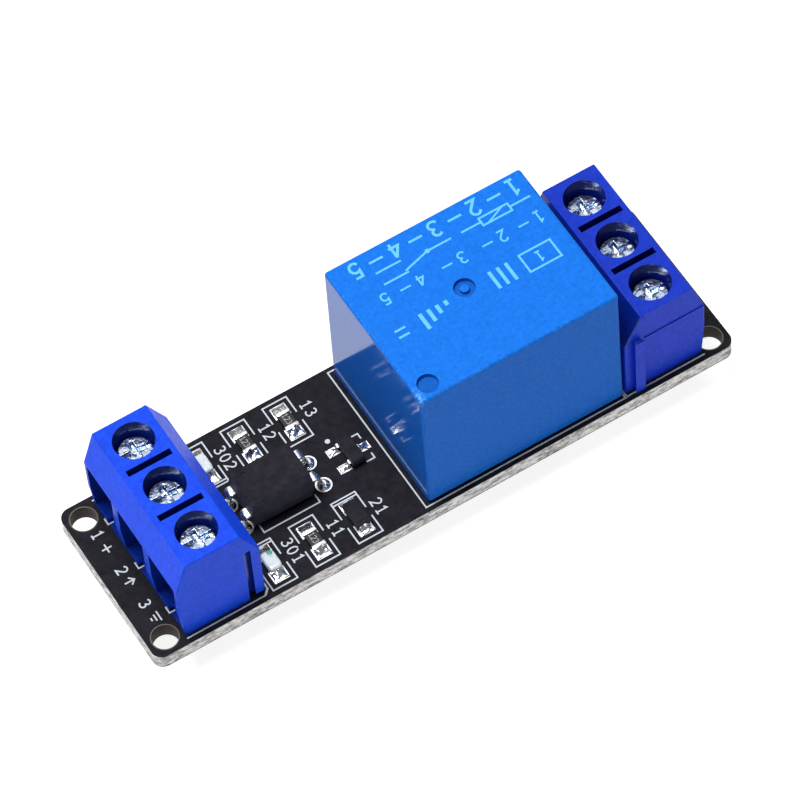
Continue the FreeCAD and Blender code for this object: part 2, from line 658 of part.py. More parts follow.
def make_housing(label, place, turn):
    """The moulded housing: sloped on both sides, with a well, a chamber and a mouth for each way."""
    body = new_body(label)
    half = "pitch * poles / 2"
    section = draw(body, "XZ_Plane")
    outline(section, [("-wire_foot", "0"), ("back_face", "0"), ("back_face", "back_high"),
                      ("block_flat", "block_height"), ("-block_flat", "block_height"),
                      ("-wire_face", "wire_high"), ("-wire_face", "wire_low")])
    bar = pad(body, section, "pitch * poles", side="Symmetric")
    round_edges(body, bar, "block_round", lambda box: box.ZMax > 0.1)

    chambers = draw(body, "XY_Plane", "floor_thickness")
    wells = draw(body, "XY_Plane", "block_height")
    bores = draw(body, "XY_Plane", LEDGE_TOP)
    slots = draw(body, "XY_Plane", "floor_thickness")
    notches = draw(body, "XY_Plane", "floor_thickness")
    for way in WAYS:
        y = f"{way} * pitch"
        rectangle(chambers, ("-wire_face - 1", f"{y} - chamber_width / 2"),
                  ("chamber_back", f"{y} + chamber_width / 2"))
        ring(wells, ("0", y), "well_diameter / 2")
        ring(bores, ("0", y), "shank_diameter / 2 + ledge_gap")
        centred(slots, (LEG_X, y), "leg_thickness + 2 * fit_gap", "leg_width + 2 * fit_gap")
        rectangle(notches, ("-wire_face - 1", f"{y} - notch_width / 2"),
                  ("-wire_face + notch_length", f"{y} + notch_width / 2"))
    pocket(body, chambers, f"{CEILING} - floor_thickness", upward=True)
    pocket(body, wells, f"block_height - {LEDGE_TOP}")
    pocket(body, bores, "2 * ledge_thickness")
    pocket(body, slots, "floor_thickness + 1")
    pocket(body, notches, "floor_thickness + 1")

    dividers = draw(body, "XY_Plane", "block_height")
    for way in WAYS[1:]:
        centred(dividers, ("0", f"({way} - 0.5) * pitch"), "divider_slot", "divider_width")
    pocket(body, dividers, "divider_depth")

    groove = draw(body, "XY_Plane")
    dovetail(groove, f"-{half}", 1, "0")
    pocket(body, groove, "dovetail_height", upward=True)
    tongue = draw(body, "XY_Plane", "dovetail_gap")
    dovetail(tongue, half, 1, "dovetail_gap")
    pad(body, tongue, "dovetail_height - 2 * dovetail_gap")
    rib = draw(body, "XY_Plane")
    rectangle(rib, ("dovetail_x", f"-{half} - 1"), ("back_face + 1", f"dovetail_depth - {half}"))
    pocket(body, rib, "rib_lift", upward=True)
    step = draw(body, "XY_Plane", "block_height")
    rectangle(step, ("-wire_face - 1", f"{half} - seam_depth"), ("seam_reach", f"{half} + 1"))
    pocket(body, step, "block_height - seam_height")
    settle(body, place, turn)
    piece(body, label + "_housing")


def make_screw(label, place, turn):
    """A clamp screw: a shank, a bevelled head and a slot with a cross in it."""
    body = new_body(label)
    profile = draw(body, "XZ_Plane")
    tip = f"{BAR_TOP} + head_gap"
    top = f"{HEAD_LOW} + head_height"
    outline(profile, [("0", tip), ("shank_diameter / 2 - shank_chamfer", tip),
                      ("shank_diameter / 2", f"{tip} + shank_chamfer"), ("shank_diameter / 2", HEAD_LOW),
                      ("head_diameter / 2", HEAD_LOW), ("head_diameter / 2", f"{top} - head_chamfer"),
                      ("head_diameter / 2 - head_chamfer", top), ("0", top)])
    turned = body.newObject("PartDesign::Revolution", body.Name + "_turned")
    turned.Profile = profile
    turned.ReferenceAxis = (profile, ["V_Axis"])
    turned.Angle = 360
    slot = draw(body, "XY_Plane", top)
    centred(slot, ("0", "0"), "head_diameter + 1", "drive_width")
    pocket(body, slot, "slot_depth")
    for length, width in (("cross_length", "drive_width"), ("drive_width", "cross_length")):
        arm = draw(body, "XY_Plane", top)
        centred(arm, ("0", "0"), length, width)
        pocket(body, arm, "cross_depth")
    settle(body, place, turn)
    piece(body, label)


def make_clamp(label, place, turn):
    """A rising clamp: a plated box, open along the wire, with the screw's thread in its top."""
    outer = block(label + "_outer", ("-clamp_front", "-clamp_width / 2", CLAMP_LOW),
                  ("clamp_front + clamp_back", "clamp_width", f"{CLAMP_TOP} - {CLAMP_LOW}"))
    window = block(label + "_window", ("-clamp_front - 1", "-clamp_width / 2 + clamp_wall",
                                       f"{CLAMP_LOW} + clamp_wall"),
                   ("clamp_front + clamp_back + 2", "clamp_width - 2 * clamp_wall",
                    "wire_gap + bar_thickness + bar_slack"))
    thread = rod(label + "_thread", ("0", "0"), BAR_LOW, "shank_diameter / 2 + thread_gap", "block_height")
    item = cut(label + "_cut", outer, [window, thread])
    settle(item, place, turn)
    piece(item, label)


def make_contact_bar(label, place, turn):
    """A contact bar inside the clamp, bent down behind it into the soldered leg."""
    width = "clamp_width - 2 * clamp_wall - 2 * bar_side"
    bar = block(label + "_bar", ("-clamp_front + leg_gap", f"-({width}) / 2", BAR_LOW),
                ("clamp_front + clamp_back + leg_thickness", width, "bar_thickness"))
    leg = slab(label + "_leg", (LEG_X, "0"), UNDER,
               ("leg_thickness", "leg_width", f"{BAR_TOP} + {BOARD_TOP}"))
    item = join(label + "_join", [bar, leg])
    settle(item, place, turn)
    piece(item, label)


def make_terminal(name, x, turn):
    make_housing(name, (x, "0", BOARD_TOP), turn)
    for number, way in enumerate(WAYS, start=1):
        place = (x, f"{way} * pitch", BOARD_TOP)
        make_screw(f"{name}_screw_{number}", place, turn)
        make_clamp(f"{name}_clamp_{number}", place, turn)
        make_contact_bar(f"{name}_bar_{number}", place, turn)


# Small parts between the blocks: each is drawn about its own centre on the board, with its ends across it

def column(index):
    return f"({LAMP_X} + column_pitch * {index})"


SEAT = f"{BOARD_TOP} + pad_thickness"


def end_caps(name, height):
    """Two metal ends that wrap a block of ceramic."""
    core = slab(name + "_core", ("0", "0"), "cap_skin",
                ("chip_width - 2 * cap_skin", "chip_length - 2 * cap_skin", f"{height} - 2 * cap_skin"))
    caps = []
    for side in (-1, 1):
        cap = slab(name + "_cap", ("0", f"{side} * (chip_length - cap_length) / 2"), "0",
                   ("chip_width", "cap_length", height))
        caps.append(cut(name + "_cap_cut", cap, [core]))
    return group(name + "_caps", caps)


def make_resistor(label, x, y):
    place = (x, y, SEAT)
    core = slab(label + "_block", ("0", "0"), "cap_skin",
                ("chip_width - 2 * cap_skin", "chip_length - 2 * cap_skin", "chip_height - 2 * cap_skin"))
    ceramic = group(label + "_ceramic", [core])
    settle(ceramic, place)
    piece(ceramic, label + "_body")
    caps = end_caps(label, "chip_height")
    settle(caps, place)
    piece(caps, label + "_ends")


def make_lamp(label, x, y):
    """A light emitting diode: a carrier with metal ends and a clear lens on it."""
    place = (x, y, SEAT)
    core = slab(label + "_block", ("0", "0"), "cap_skin",
                ("chip_width - 2 * cap_skin", "chip_length - 2 * cap_skin", "lamp_base - 2 * cap_skin"))
    carrier = group(label + "_carrier_group", [core])
    settle(carrier, place)
    piece(carrier, label + "_carrier")
    caps = end_caps(label, "lamp_base")
    settle(caps, place)
    piece(caps, label + "_ends")
    body = new_body(label + "_moulding")
    foot = draw(body, "XY_Plane", "lamp_base")
    centred(foot, ("0", "0"), "chip_width", "lens_length")
    pad(body, foot, "lamp_height - lamp_base", taper="-lens_draft")
    stem = draw(body, "XY_Plane", "lamp_base - cap_skin")
    centred(stem, ("0", "0"), "chip_width - 2 * cap_skin", "chip_length - 2 * cap_length")
    pad(body, stem, "cap_skin")
    settle(body, place)
    piece(body, label + "_lens")


def moulded(name, length, width, height, low):
    """A moulded body: two halves that taper away from the parting line at half its height."""
    body = new_body(name)
    for downward in (False, True):
        plan = draw(body, "XY_Plane", f"{low} + ({height}) / 2")
        centred(plan, ("0", "0"), length, width)
        pad(body, plan, f"({height}) / 2", taper="-body_draft", downward=downward)
    return body


def make_diode(x, y):
    """The diode: a moulded body with a flat lead under each end."""
    place = (x, y, SEAT)
    body = moulded("diode_moulding", "diode_width", "diode_length", "diode_height", "thin_lead")
    settle(body, place)
    piece(body, "diode_body")
    reach = "(diode_span - diode_length) / 2 + diode_lead"
    flats = [slab("diode_lead", ("0", f"{side} * (diode_span / 2 - ({reach}) / 2)"), "0",
                  ("diode_lead", reach, "thin_lead")) for side in (-1, 1)]
    pair = group("diode_lead_pair", flats)
    settle(pair, place)
    piece(pair, "diode_leads")


def make_transistor():
    place = (TRANSISTOR_X, "0", SEAT)
    body = moulded("transistor_moulding", "transistor_width", "transistor_length", "transistor_height",
                   "thin_lead / 2")
    settle(body, place)
    piece(body, "transistor_body")
    legs = []
    knee = "(transistor_width / 2 + transistor_reach) / 2"
    for end, y in TRANSISTOR_TOES:
        high = "(thin_lead / 2 + transistor_height / 2)"
        upper = slab("lead_upper", (f"{end} * (transistor_width / 2 + {knee}) / 2", y),
                     f"{high} - thin_lead / 2",
                     (f"{knee} - transistor_width / 2", "transistor_lead", "thin_lead"))
        rise = slab("lead_rise", (f"{end} * ({knee} + thin_lead / 2)", y), "0",
                    ("thin_lead", "transistor_lead", f"{high} + thin_lead / 2"))
        toe = slab("lead_toe", (f"{end} * ({knee} + transistor_reach) / 2", y), "0",
                   (f"transistor_reach - {knee}", "transistor_lead", "thin_lead"))
        legs.append(join("transistor_lead_join", [upper, rise, toe]))
    three = group("transistor_lead_group", legs)
    settle(three, place)
    piece(three, "transistor_leads")


def make_coupler():
    """The optocoupler: a drafted black body and four leads bent down through the board."""
    place = (f"{COUPLER_X} - body_shift", "-coupler_y", BOARD_TOP)
    body = moulded("coupler_moulding", "coupler_length", "coupler_width", "coupler_height",
                   "coupler_standoff")
    mark = draw(body, "XY_Plane", "coupler_standoff + coupler_height")
    ring(mark, ("mark_diameter * 1.4 - coupler_length / 2", "coupler_width / 2 - mark_diameter * 1.4"),
         "mark_diameter / 2")
    pocket(body, mark, "mark_depth")
    settle(body, place)
    piece(body, "optocoupler_body")
    middle = "(coupler_standoff + coupler_height / 2)"
    legs = []
    for end in (-1, 1):
        for side in (-1, 1):
            y = f"{side} * coupler_pitch / 2"
            bend = f"({end} * coupler_span / 2 + body_shift)"
            shoulder = slab("shoulder", (f"({end} * coupler_length / 2 + {bend}) / 2", y),
                            f"{middle} - coupler_lead / 2",
                            (f"(coupler_span - coupler_length) / 2 + {end} * body_shift", "shoulder_width",
                             "coupler_lead"))
            wide = slab("wide_leg", (bend, y), f"{middle} + coupler_lead / 2 - shoulder_drop",
                        ("coupler_lead", "shoulder_width", "shoulder_drop"))
            tail = slab("tail", (bend, y), UNDER,
                        ("coupler_lead", "tail_width", f"{middle} + {BOARD_TOP}"))
            legs.append(join("coupler_lead_join", [shoulder, wide, tail]))
    four = group("coupler_lead_group", legs)
    settle(four, place)
    piece(four, "optocoupler_leads")


# Copper pads, solder and printed lines

LAMPS = [("lamp_power", column(0), "-row_y"), ("lamp_signal", column(0), "row_y")]
RESISTORS = [("resistor_coil", column(1), "-row_y"), ("resistor_signal", column(1), "row_y"),
             ("resistor_base", column(2), "row_y")]
DIODE = (column(2), "-row_y")


CHIPS = [(x, y) for _, x, y in LAMPS + RESISTORS]
TRANSISTOR_TOES = [(-1, "-transistor_pitch / 2"), (-1, "transistor_pitch / 2"), (1, "0")]


def make_pads():
    """Tinned pads under the small parts and rings round the optocoupler's holes."""
    items = []
    for x, y in CHIPS + [DIODE]:
        for side in (-1, 1):
            items.append(slab("chip_pad", (x, f"{y} + {side} * (pad_near + pad_far) / 2"), BOARD_TOP,
                              ("pad_width", "pad_far - pad_near", "pad_thickness")))
    for end, y in TRANSISTOR_TOES:
        middle = f"{end} * (transistor_width / 2 + small_pad_reach) / 2 + {TRANSISTOR_X}"
        items.append(slab("small_pad", (middle, y), BOARD_TOP,
                          ("small_pad_reach - transistor_width / 2", "small_pad_width", "pad_thickness")))
    for x, y, section in coupler_leads:
        outer = rod("ring_pad", (x, y), BOARD_TOP, f"{hole_radius(section)} + ring_width", "pad_thickness")
        hole = rod("ring_hole", (x, y), "lead_drop", hole_radius(section), "2 * board_thickness")
        items.append(cut("ring_pad_cut", outer, [hole]))
    piece(group("pads", items), "surface_pads")


def wedge(place, turn, length, high, near_half, far_half):
    """A solder fillet: it falls from high at the part's end face to a thin toe at the pad's far end."""
    item = doc.addObject("Part::Wedge", "fillet")
    for prop, text in (("Xmin", f"-({near_half})"), ("Xmax", near_half), ("Ymin", "0"), ("Ymax", length),
                       ("Zmin", "0"), ("Zmax", high), ("X2min", f"-({far_half})"), ("X2max", far_half),
                       ("Z2min", "0"), ("Z2max", "fillet_toe")):
        bind(item, prop, text)
    settle(item, place, turn)
    return item


def make_top_solder():
    """The fillet at each end of the small parts, and at each toe of the transistor."""
    items = []
    ends = [(x, y, "chip_length / 2", "chip_width / 2", "lamp_base") for _, x, y in LAMPS]
    ends += [(x, y, "chip_length / 2", "chip_width / 2", "fillet_height") for _, x, y in RESISTORS]
    ends.append((*DIODE, "diode_span / 2", "diode_lead / 2", "thin_lead"))
    for x, y, face, half, high in ends:
        for side, turn in ((1, 0), (-1, 180)):
            items.append(wedge((x, f"{y} + {side} * {face}", SEAT), turn,
                               f"pad_far - {face}", high, half, "pad_width / 2"))
    for end, y in TRANSISTOR_TOES:
        items.append(wedge((f"{end} * transistor_reach + {TRANSISTOR_X}", y, SEAT), -90 * end,
                           "small_pad_reach - transistor_reach", "thin_lead", "transistor_lead / 2",
                           "small_pad_width / 2"))
    piece(group("fillets", items), "surface_solder")


def make_bottom_solder():
    """A cone of solder under the board round each lead."""
    items = []
    for x, y, section in leads:
        cone = doc.addObject("Part::Cone", "solder_cone")
        bind(cone, "Radius1", "solder_tip")
        bind(cone, "Radius2", "solder_radius")
        bind(cone, "Height", "solder_height")
        settle(cone, (x, y, "lead_drop - solder_height"))
        room = slab("lead_room", (x, y), "0", (*section, "2 * lead_drop"))
        items.append(cut("solder_cut", cone, [room]))
    piece(group("cones", items), "lead_solder")


def line(x, y, length, width):
    """One printed line on the board, about its middle."""
    return slab("line", (x, y), BOARD_TOP, (length, width, "line_height"))


def frame(x, y, marked):
    """The frame round a small part, open halfway along, with a second line at its marked end."""
    half = "frame_length / 2"
    run = "(frame_length - frame_gap) / 2"
    lines = []
    for side in (-1, 1):
        lines.append(line(x, f"{y} + {side} * {half}", "frame_width + line_width", "line_width"))
        for end in (-1, 1):
            lines.append(line(f"{x} + {end} * frame_width / 2", f"{y} + {side} * ({half} - ({run}) / 2)",
                              "line_width", run))
    if marked:
        lines.append(line(x, f"{y} + {marked} * ({half} - frame_bar)", "frame_width", "line_width"))
    return lines


def block_outline(x, turn):
    """The outline round a terminal block, with one clipped corner: its foot covers the wire side, all but a
    corner at each notch, where the line turns in."""
    runs = []
    for step in ("line_width / 2", "-line_width / 2"):
        low_x = "-(wire_foot + wire_margin)"
        high_x = f"(back_face + block_margin + {step})"
        half = f"(pitch * poles / 2 + block_margin + {step})"
        runs.append([(low_x, f"-{half}"), (f"{high_x} - block_clip", f"-{half}"),
                     (high_x, f"-{half} + block_clip"), (high_x, half), (low_x, half)])
    body = new_body("block_outline")
    drawing = draw(body, "XY_Plane")
    outline(drawing, runs[0] + runs[1][::-1])
    pad(body, drawing, "line_height")
    settle(body, (x, "0", BOARD_TOP), turn)
    items = [body]
    for way in WAYS:
        y = f"({way} * pitch + tick_y)"
        reach = "(wire_foot + wire_margin - wire_face + notch_length - fit_gap)"
        tick = slab("tick", (f"-(wire_foot + wire_margin) + {reach} / 2", y), "0",
                    (reach, "line_width", "line_height"))
        run = slab("tick_run_line", ("-(wire_foot + wire_margin)", f"{y} + (tick_run - line_width) / 2"),
                   "0", ("line_width", "tick_run", "line_height"))
        corner = join("tick_corner", [tick, run])
        settle(corner, (x, "0", BOARD_TOP), turn)
        items.append(corner)
    return items


def make_printed_lines():
    """Every printed line of the board: frames, outlines, brackets and a dot."""
    items = []
    for x, y, marked in ((*LAMPS[0][1:], 1), (*LAMPS[1][1:], -1), (*DIODE, 1),
                         *((x, y, 0) for _, x, y in RESISTORS)):
        items.append(join("frame", frame(x, y, marked)))
    items += block_outline(INPUT_X, 0)
    items += block_outline(OUTPUT_X, 180)

    around = new_body("relay_outline")
    drawing = draw(around, "XY_Plane")
    for step in ("line_width / 2", "-line_width / 2"):
        half = f"(relay_width / 2 + relay_margin + {step})"
        rectangle(drawing, (f"-(relay_length / 2 + relay_margin_end + {step})", f"-{half}"),
                  (f"relay_length / 2 + relay_margin + {step}", half))
    pad(around, drawing, "line_height")
    settle(around, RELAY)
    items.append(around)

    for side in (-1, 1):
        far = f"{side} * (coupler_width / 2 + coupler_margin) - coupler_y"
        arms = [line(COUPLER_X, far, "2 * coupler_bracket_x + line_width", "line_width")]
        for end in (-1, 1):
            arms.append(line(f"{end} * coupler_bracket_x + {COUPLER_X}",
                             f"{far} - {side} * coupler_bracket / 2", "line_width", "coupler_bracket"))
        items.append(join("coupler_lines", arms))

        x = f"transistor_corner_x + {TRANSISTOR_X}"
        y = f"{side} * transistor_corner_y"
        along = line(f"{x} - transistor_arm / 2", y, "transistor_arm + line_width", "line_width")
        across = line(x, f"{y} - {side} * transistor_arm_y / 2", "line_width",
                      "transistor_arm_y + line_width")
        items.append(join("transistor_lines", [along, across]))
    items.append(rod("dot", (f"{TRANSISTOR_X} - dot_x", "dot_y"), BOARD_TOP, "dot_diameter / 2",
                     "line_height"))
    piece(group("print", items), "printed_outlines")


make_board()
make_case()
make_relay_base()
make_coil()
make_yoke()
make_armature()
make_fixed_contacts()
make_terminal("input", INPUT_X, 0)
make_terminal("output", OUTPUT_X, 180)
for label, x, y in LAMPS:
    make_lamp(label, x, y)
for label, x, y in RESISTORS:
    make_resistor(label, x, y)
make_diode(*DIODE)
make_transistor()
make_coupler()
make_pads()
make_top_solder()
make_bottom_solder()
make_printed_lines()

doc.recompute()
for item in doc.Objects:
    if "Invalid" in item.State or "Error" in item.State:
        raise RuntimeError(f"{item.Name} failed: {item.State}")
for item in pieces:
    if item.Shape.isNull() or not item.Shape.isValid():
        raise RuntimeError(f"{item.Label} has no valid shape")

os.makedirs("parts", exist_ok=True)
for item in pieces:
    item.Shape.exportStep(f"parts/{item.Label}.step")
    box = item.Shape.BoundBox
    print(f"{item.Label}: {len(item.Shape.Solids)} solid, {item.Shape.Volume:.2f} mm3,"
          f" z {box.ZMin:.2f} to {box.ZMax:.2f}")
print(len(pieces), "pieces")
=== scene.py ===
# %% [markdown]
# # A one channel relay board
# A narrow black circuit board carries a screw terminal block at each end, a cube relay and,
# between them, the small soldered parts that drive the relay's coil. The solids come from the
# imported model, in metres and in their own places. This notebook gives them their finishes,
# softens the moulded and pressed edges, and makes again what solids can't show well: solder,
# bent leads, the screws' threads, lamps and print.

# %% The frame
import json
import math

import bmesh
import bpy
import numpy as np
from mathutils import Matrix, Vector


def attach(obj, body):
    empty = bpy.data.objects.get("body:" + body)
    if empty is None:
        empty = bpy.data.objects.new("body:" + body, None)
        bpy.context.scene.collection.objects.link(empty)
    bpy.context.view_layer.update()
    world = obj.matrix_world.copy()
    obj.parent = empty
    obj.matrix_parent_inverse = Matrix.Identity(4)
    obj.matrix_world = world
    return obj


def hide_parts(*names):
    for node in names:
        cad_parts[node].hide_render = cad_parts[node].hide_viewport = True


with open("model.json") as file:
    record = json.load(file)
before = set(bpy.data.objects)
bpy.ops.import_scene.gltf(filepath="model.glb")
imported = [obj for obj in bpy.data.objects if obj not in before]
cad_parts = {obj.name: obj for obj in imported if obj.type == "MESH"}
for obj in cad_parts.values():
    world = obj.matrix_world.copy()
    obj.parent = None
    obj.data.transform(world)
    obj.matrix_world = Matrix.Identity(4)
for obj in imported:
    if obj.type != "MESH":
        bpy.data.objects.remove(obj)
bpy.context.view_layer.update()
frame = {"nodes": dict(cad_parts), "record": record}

MM = 0.001
nodes = frame["nodes"]

# %% [markdown]
# Several steps share the same places, in millimetres from the point under the middle of the
# board that is level with the tips of its leads. A terminal block has a name, the X of its
# screws, and the way along X, 1 or -1, in which the middle of the board lies. The small parts
# stand in three columns and two rows: two lamps, then two resistors, then the diode in front
# and the third resistor behind it.

# %% Shared places
BOARD_BOTTOM, BOARD_TOP = 3.0, 4.6
PAD_TOP = BOARD_TOP + 0.05
FIXING_HOLE = (26.6, 6.75)

BLOCKS = (("input", -21.65, 1), ("output", 21.95, -1))
WAYS = (1, 2, 3)
PITCH = 5.08
INPUT_LEG_X, OUTPUT_LEG_X = (x + 1.85 * inward for _, x, inward in BLOCKS)

RELAY_X, PIN_Y = 7.85, 6.0
COMMON_X, COIL_X, CONTACT_X = RELAY_X - 7.6, RELAY_X - 5.6, RELAY_X + 6.6
ROOF_MARKS = ((7.25, 0.0), (-0.15, -6.30))

LAMP_X, RESISTOR_X, DIODE_X, ROW_Y = -15.72, -11.6, -7.48, 5.61
LAMPS = (("lamp_power", -ROW_Y), ("lamp_signal", ROW_Y))
RESISTORS = ((RESISTOR_X, -ROW_Y), (RESISTOR_X, ROW_Y), (DIODE_X, ROW_Y))
COUPLER_LEFT_X, COUPLER_RIGHT_X, COUPLER_ROWS = -15.76, -8.14, (-1.37, 1.17)
TRANSISTOR_X, TRANSISTOR_LEADS = -4.65, ((-1, -0.95), (-1, 0.95), (1, 0.0))

# %% [markdown]
# Each finish is a small tree of shader nodes. Many need the same steps: a noise in the piece's
# own coordinates, a ramp that turns it into colours or into numbers, and a bump. Helpers for
# those steps keep each recipe short, and every number that is the same all over a surface is
# set on the shader itself.

# %% Steps of a finish
class Finish:
    """A material with one shader, and the steps that feed it."""

    def __init__(self, name, roughness, metallic=0.0, **sockets):
        self.material = bpy.data.materials.new(name)
        self.material.use_nodes = True
        self.tree = self.material.node_tree
        self.shader = self.tree.nodes["Principled BSDF"]
        self.shader.inputs["Roughness"].default_value = roughness
        self.shader.inputs["Metallic"].default_value = metallic
        for socket, value in sockets.items():
            self.shader.inputs[socket.replace("_", " ")].default_value = value
        self.place = self.tree.nodes.new("ShaderNodeTexCoord").outputs["Object"]

    def step(self, kind, **settings):
        """Adds a node. A setting that names one of its sockets, or is i and a socket's number,
        feeds that socket, and the others set the node."""
        item = self.tree.nodes.new("ShaderNode" + kind)
        for key, value in settings.items():
            if hasattr(item, key):
                setattr(item, key, value)
                continue
            numbered = key[0] == "i" and key[1:].isdigit()
            socket = item.inputs[int(key[1:]) if numbered else key]
            if isinstance(value, bpy.types.NodeSocket):
                self.tree.links.new(value, socket)
            else:
                socket.default_value = value
        return item

    def noise(self, size, detail=3.0, rough=0.6, stretch=(1, 1, 1)):
        """A noise whose grains are about size millimetres across, from 0 to 1."""
        spread = self.step("Mapping", Vector=self.place, Scale=[s / (size * MM) for s in stretch])
        return self.step("TexNoise", Vector=spread.outputs[0], Scale=1.0, Detail=detail,
                         Roughness=rough).outputs[0]

    def ramp(self, value, *stops):
        """Turns a value into colours or greys between stops of (position, colour or grey)."""
        item = self.step("ValToRGB", Fac=value)
        band = item.color_ramp.elements
        while len(band) < len(stops):
            band.new(0.5)
        for mark, (position, color) in zip(band, stops):
            mark.position = position
            mark.color = (*color, 1) if isinstance(color, (tuple, list)) else (color,) * 3 + (1,)
        return item.outputs[0]

    def math(self, operation, a, b=0.0):
        """One step of arithmetic."""
        return self.step("Math", operation=operation, i0=a, i1=b).outputs[0]

    def times(self, product, *others):
        """The product of several values."""
        for other in others:
            product = self.math("MULTIPLY", product, other)
        return product

    def blend(self, amount, under, over):
        """Mixes two colours. They go in at sockets 6 and 7 of the node and come out at 2."""
        item = self.step("Mix", data_type="RGBA")
        for socket, value in ((0, amount), (6, under), (7, over)):
            if isinstance(value, bpy.types.NodeSocket):
                self.tree.links.new(value, item.inputs[socket])
            else:
                item.inputs[socket].default_value = (*value, 1) if socket else value
        return item.outputs[2]

    def axis(self, index):
        """One coordinate of the point, in metres."""
        return self.step("SeparateXYZ", i0=self.place).outputs[index]

    def facing(self, index):
        """How much the surface faces along one axis, from -1 to 1."""
        normal = self.step("NewGeometry").outputs["Normal"]
        return self.step("SeparateXYZ", i0=normal).outputs[index]

    def within(self, index, low, high):
        """0 where a coordinate is at low millimetres, 1 at high, and held beyond them."""
        return self.step("MapRange", i0=self.axis(index), i1=low * MM, i2=high * MM).outputs[0]

    def away(self, place, x, y, span):
        """The distance of a place from a point of the ground plane, as a share of span."""
        length = self.step("VectorMath", operation="DISTANCE", i0=place, i1=(x * MM, y * MM, 0))
        return self.math("DIVIDE", length.outputs["Value"], span * MM)

    def feed(self, socket, value):
        """Lets a value drive a socket of the shader."""
        self.tree.links.new(value, self.shader.inputs[socket])

    def patchy(self, socket, size, low, high, stops=(0.3, 0.7), **noise):
        """Feeds a socket two close tones or values, in patches about size millimetres across."""
        patches = self.noise(size, **noise)
        self.feed(socket, self.ramp(patches, (stops[0], low), (stops[1], high)))

    def bump(self, height, depth):
        """Relief of depth millimetres."""
        self.feed("Normal", self.step("Bump", Height=height, Distance=depth * MM).outputs[0])


finishes = {}


def keep(slot_name, recipe):
    """Makes a recipe the finish of a material slot of the record."""
    finishes[slot_name] = recipe.material


def shares(share, *tones):
    """The same colours, each times share."""
    return [tuple(share * c for c in tone) for tone in tones]

# %% [markdown]
# The laminate is glass cloth in clear resin under a satin black mask. The photo shows fine dust
# and a few brown specks on the mask, and a pale, mottled cut edge between two thin dark lines,
# where the mask ends. One material serves both: the way a face points tells the mask from the
# edge. Round each fixing hole the drill has bared a thin, pale brown ring, and the hole's own
# wall is painted dark, as painted shade; the distance from the hole's axis gives both, and one
# hole serves for all four, because X and Y lose their signs.

# %% Laminate
laminate = Finish("laminate", roughness=0.5, Specular_IOR_Level=0.06)
mask = laminate.ramp(laminate.noise(0.7, detail=6), (0.3, (0.0045, 0.0042, 0.0068)),
                     (0.72, (0.0140, 0.0128, 0.0182)))
dust = laminate.ramp(laminate.noise(0.16, detail=2, rough=0.9), (0.70, 0.0), (0.84, 1.0))
mask = laminate.blend(laminate.times(dust, 0.12), mask, (0.16, 0.12, 0.10))
mirrored = laminate.step("CombineXYZ", X=laminate.math("ABSOLUTE", laminate.axis(0)),
                         Y=laminate.math("ABSOLUTE", laminate.axis(1)))
from_hole = laminate.away(mirrored.outputs[0], *FIXING_HOLE, 4)
# This mask marks the pale brown ring that the drill bared round each hole, and also the hole's
# own wall, which is painted dark as painted shade.
bared_ring_and_hole_shade = laminate.ramp(from_hole, (0.300, 1.0), (0.318, 0.0))
mask = laminate.blend(bared_ring_and_hole_shade, mask, (0.13, 0.105, 0.088))
glass = laminate.ramp(laminate.noise(0.8, detail=7, rough=0.75, stretch=(1, 1, 2.6)),
                      (0.34, (0.10, 0.095, 0.09)), (0.44, (0.36, 0.35, 0.34)),
                      (0.53, (0.74, 0.73, 0.71)), (0.64, (0.96, 0.95, 0.94)))
# Painted shade: inside the holes the pale cut edge is painted a dark brown.
glass = laminate.blend(bared_ring_and_hole_shade, glass, (0.055, 0.045, 0.040))
above = laminate.math("SUBTRACT", laminate.axis(2), BOARD_BOTTOM * MM)
depth = laminate.math("DIVIDE", above, (BOARD_TOP - BOARD_BOTTOM) * MM)
bare = laminate.ramp(depth, (0.03, 0.0), (0.09, 1.0), (0.93, 1.0), (0.98, 0.0))
edge = laminate.blend(bare, (0.03, 0.028, 0.03), glass)
flat = laminate.ramp(laminate.math("ABSOLUTE", laminate.facing(2)), (0.45, 0.0), (0.55, 1.0))
laminate.feed("Base Color", laminate.blend(flat, edge, mask))
laminate.patchy("Roughness", 0.9, 0.42, 0.60, detail=4)
laminate.bump(laminate.noise(0.25, detail=5), 0.010)
keep("laminate", laminate)

# %% [markdown]
# The relay's case and the terminal housings are injection moulded. The case is a lighter, satin
# blue, with a faint grain, worn specks at its edges and painted shade in the roof's two round
# marks. The housings are a deep, glossy blue, deeper still at the output block, and painted
# paler down their sides than on top, as painted light. Moulded plastic gets its look from a
# clear top reflection over a saturated colour, with a slight unevenness from the tool.

# %% Blue mouldings
RELAY_TONES = ((0.0040, 0.104, 0.46), (0.0070, 0.152, 0.66))
# a dark and a light tone of the input block, then the two of the output block
TERMINAL_TOPS = (((0.003, 0.039, 0.47), (0.009, 0.061, 0.70)),
                 ((0.004, 0.022, 0.30), (0.010, 0.034, 0.43)))
# Painted light: the housings' sides take these paler tones, their tops the deeper ones above.
TERMINAL_SIDES_PAINTED_PALER = (((0.003, 0.050, 0.58), (0.009, 0.074, 0.86)),
                  ((0.004, 0.032, 0.46), (0.010, 0.048, 0.68)))


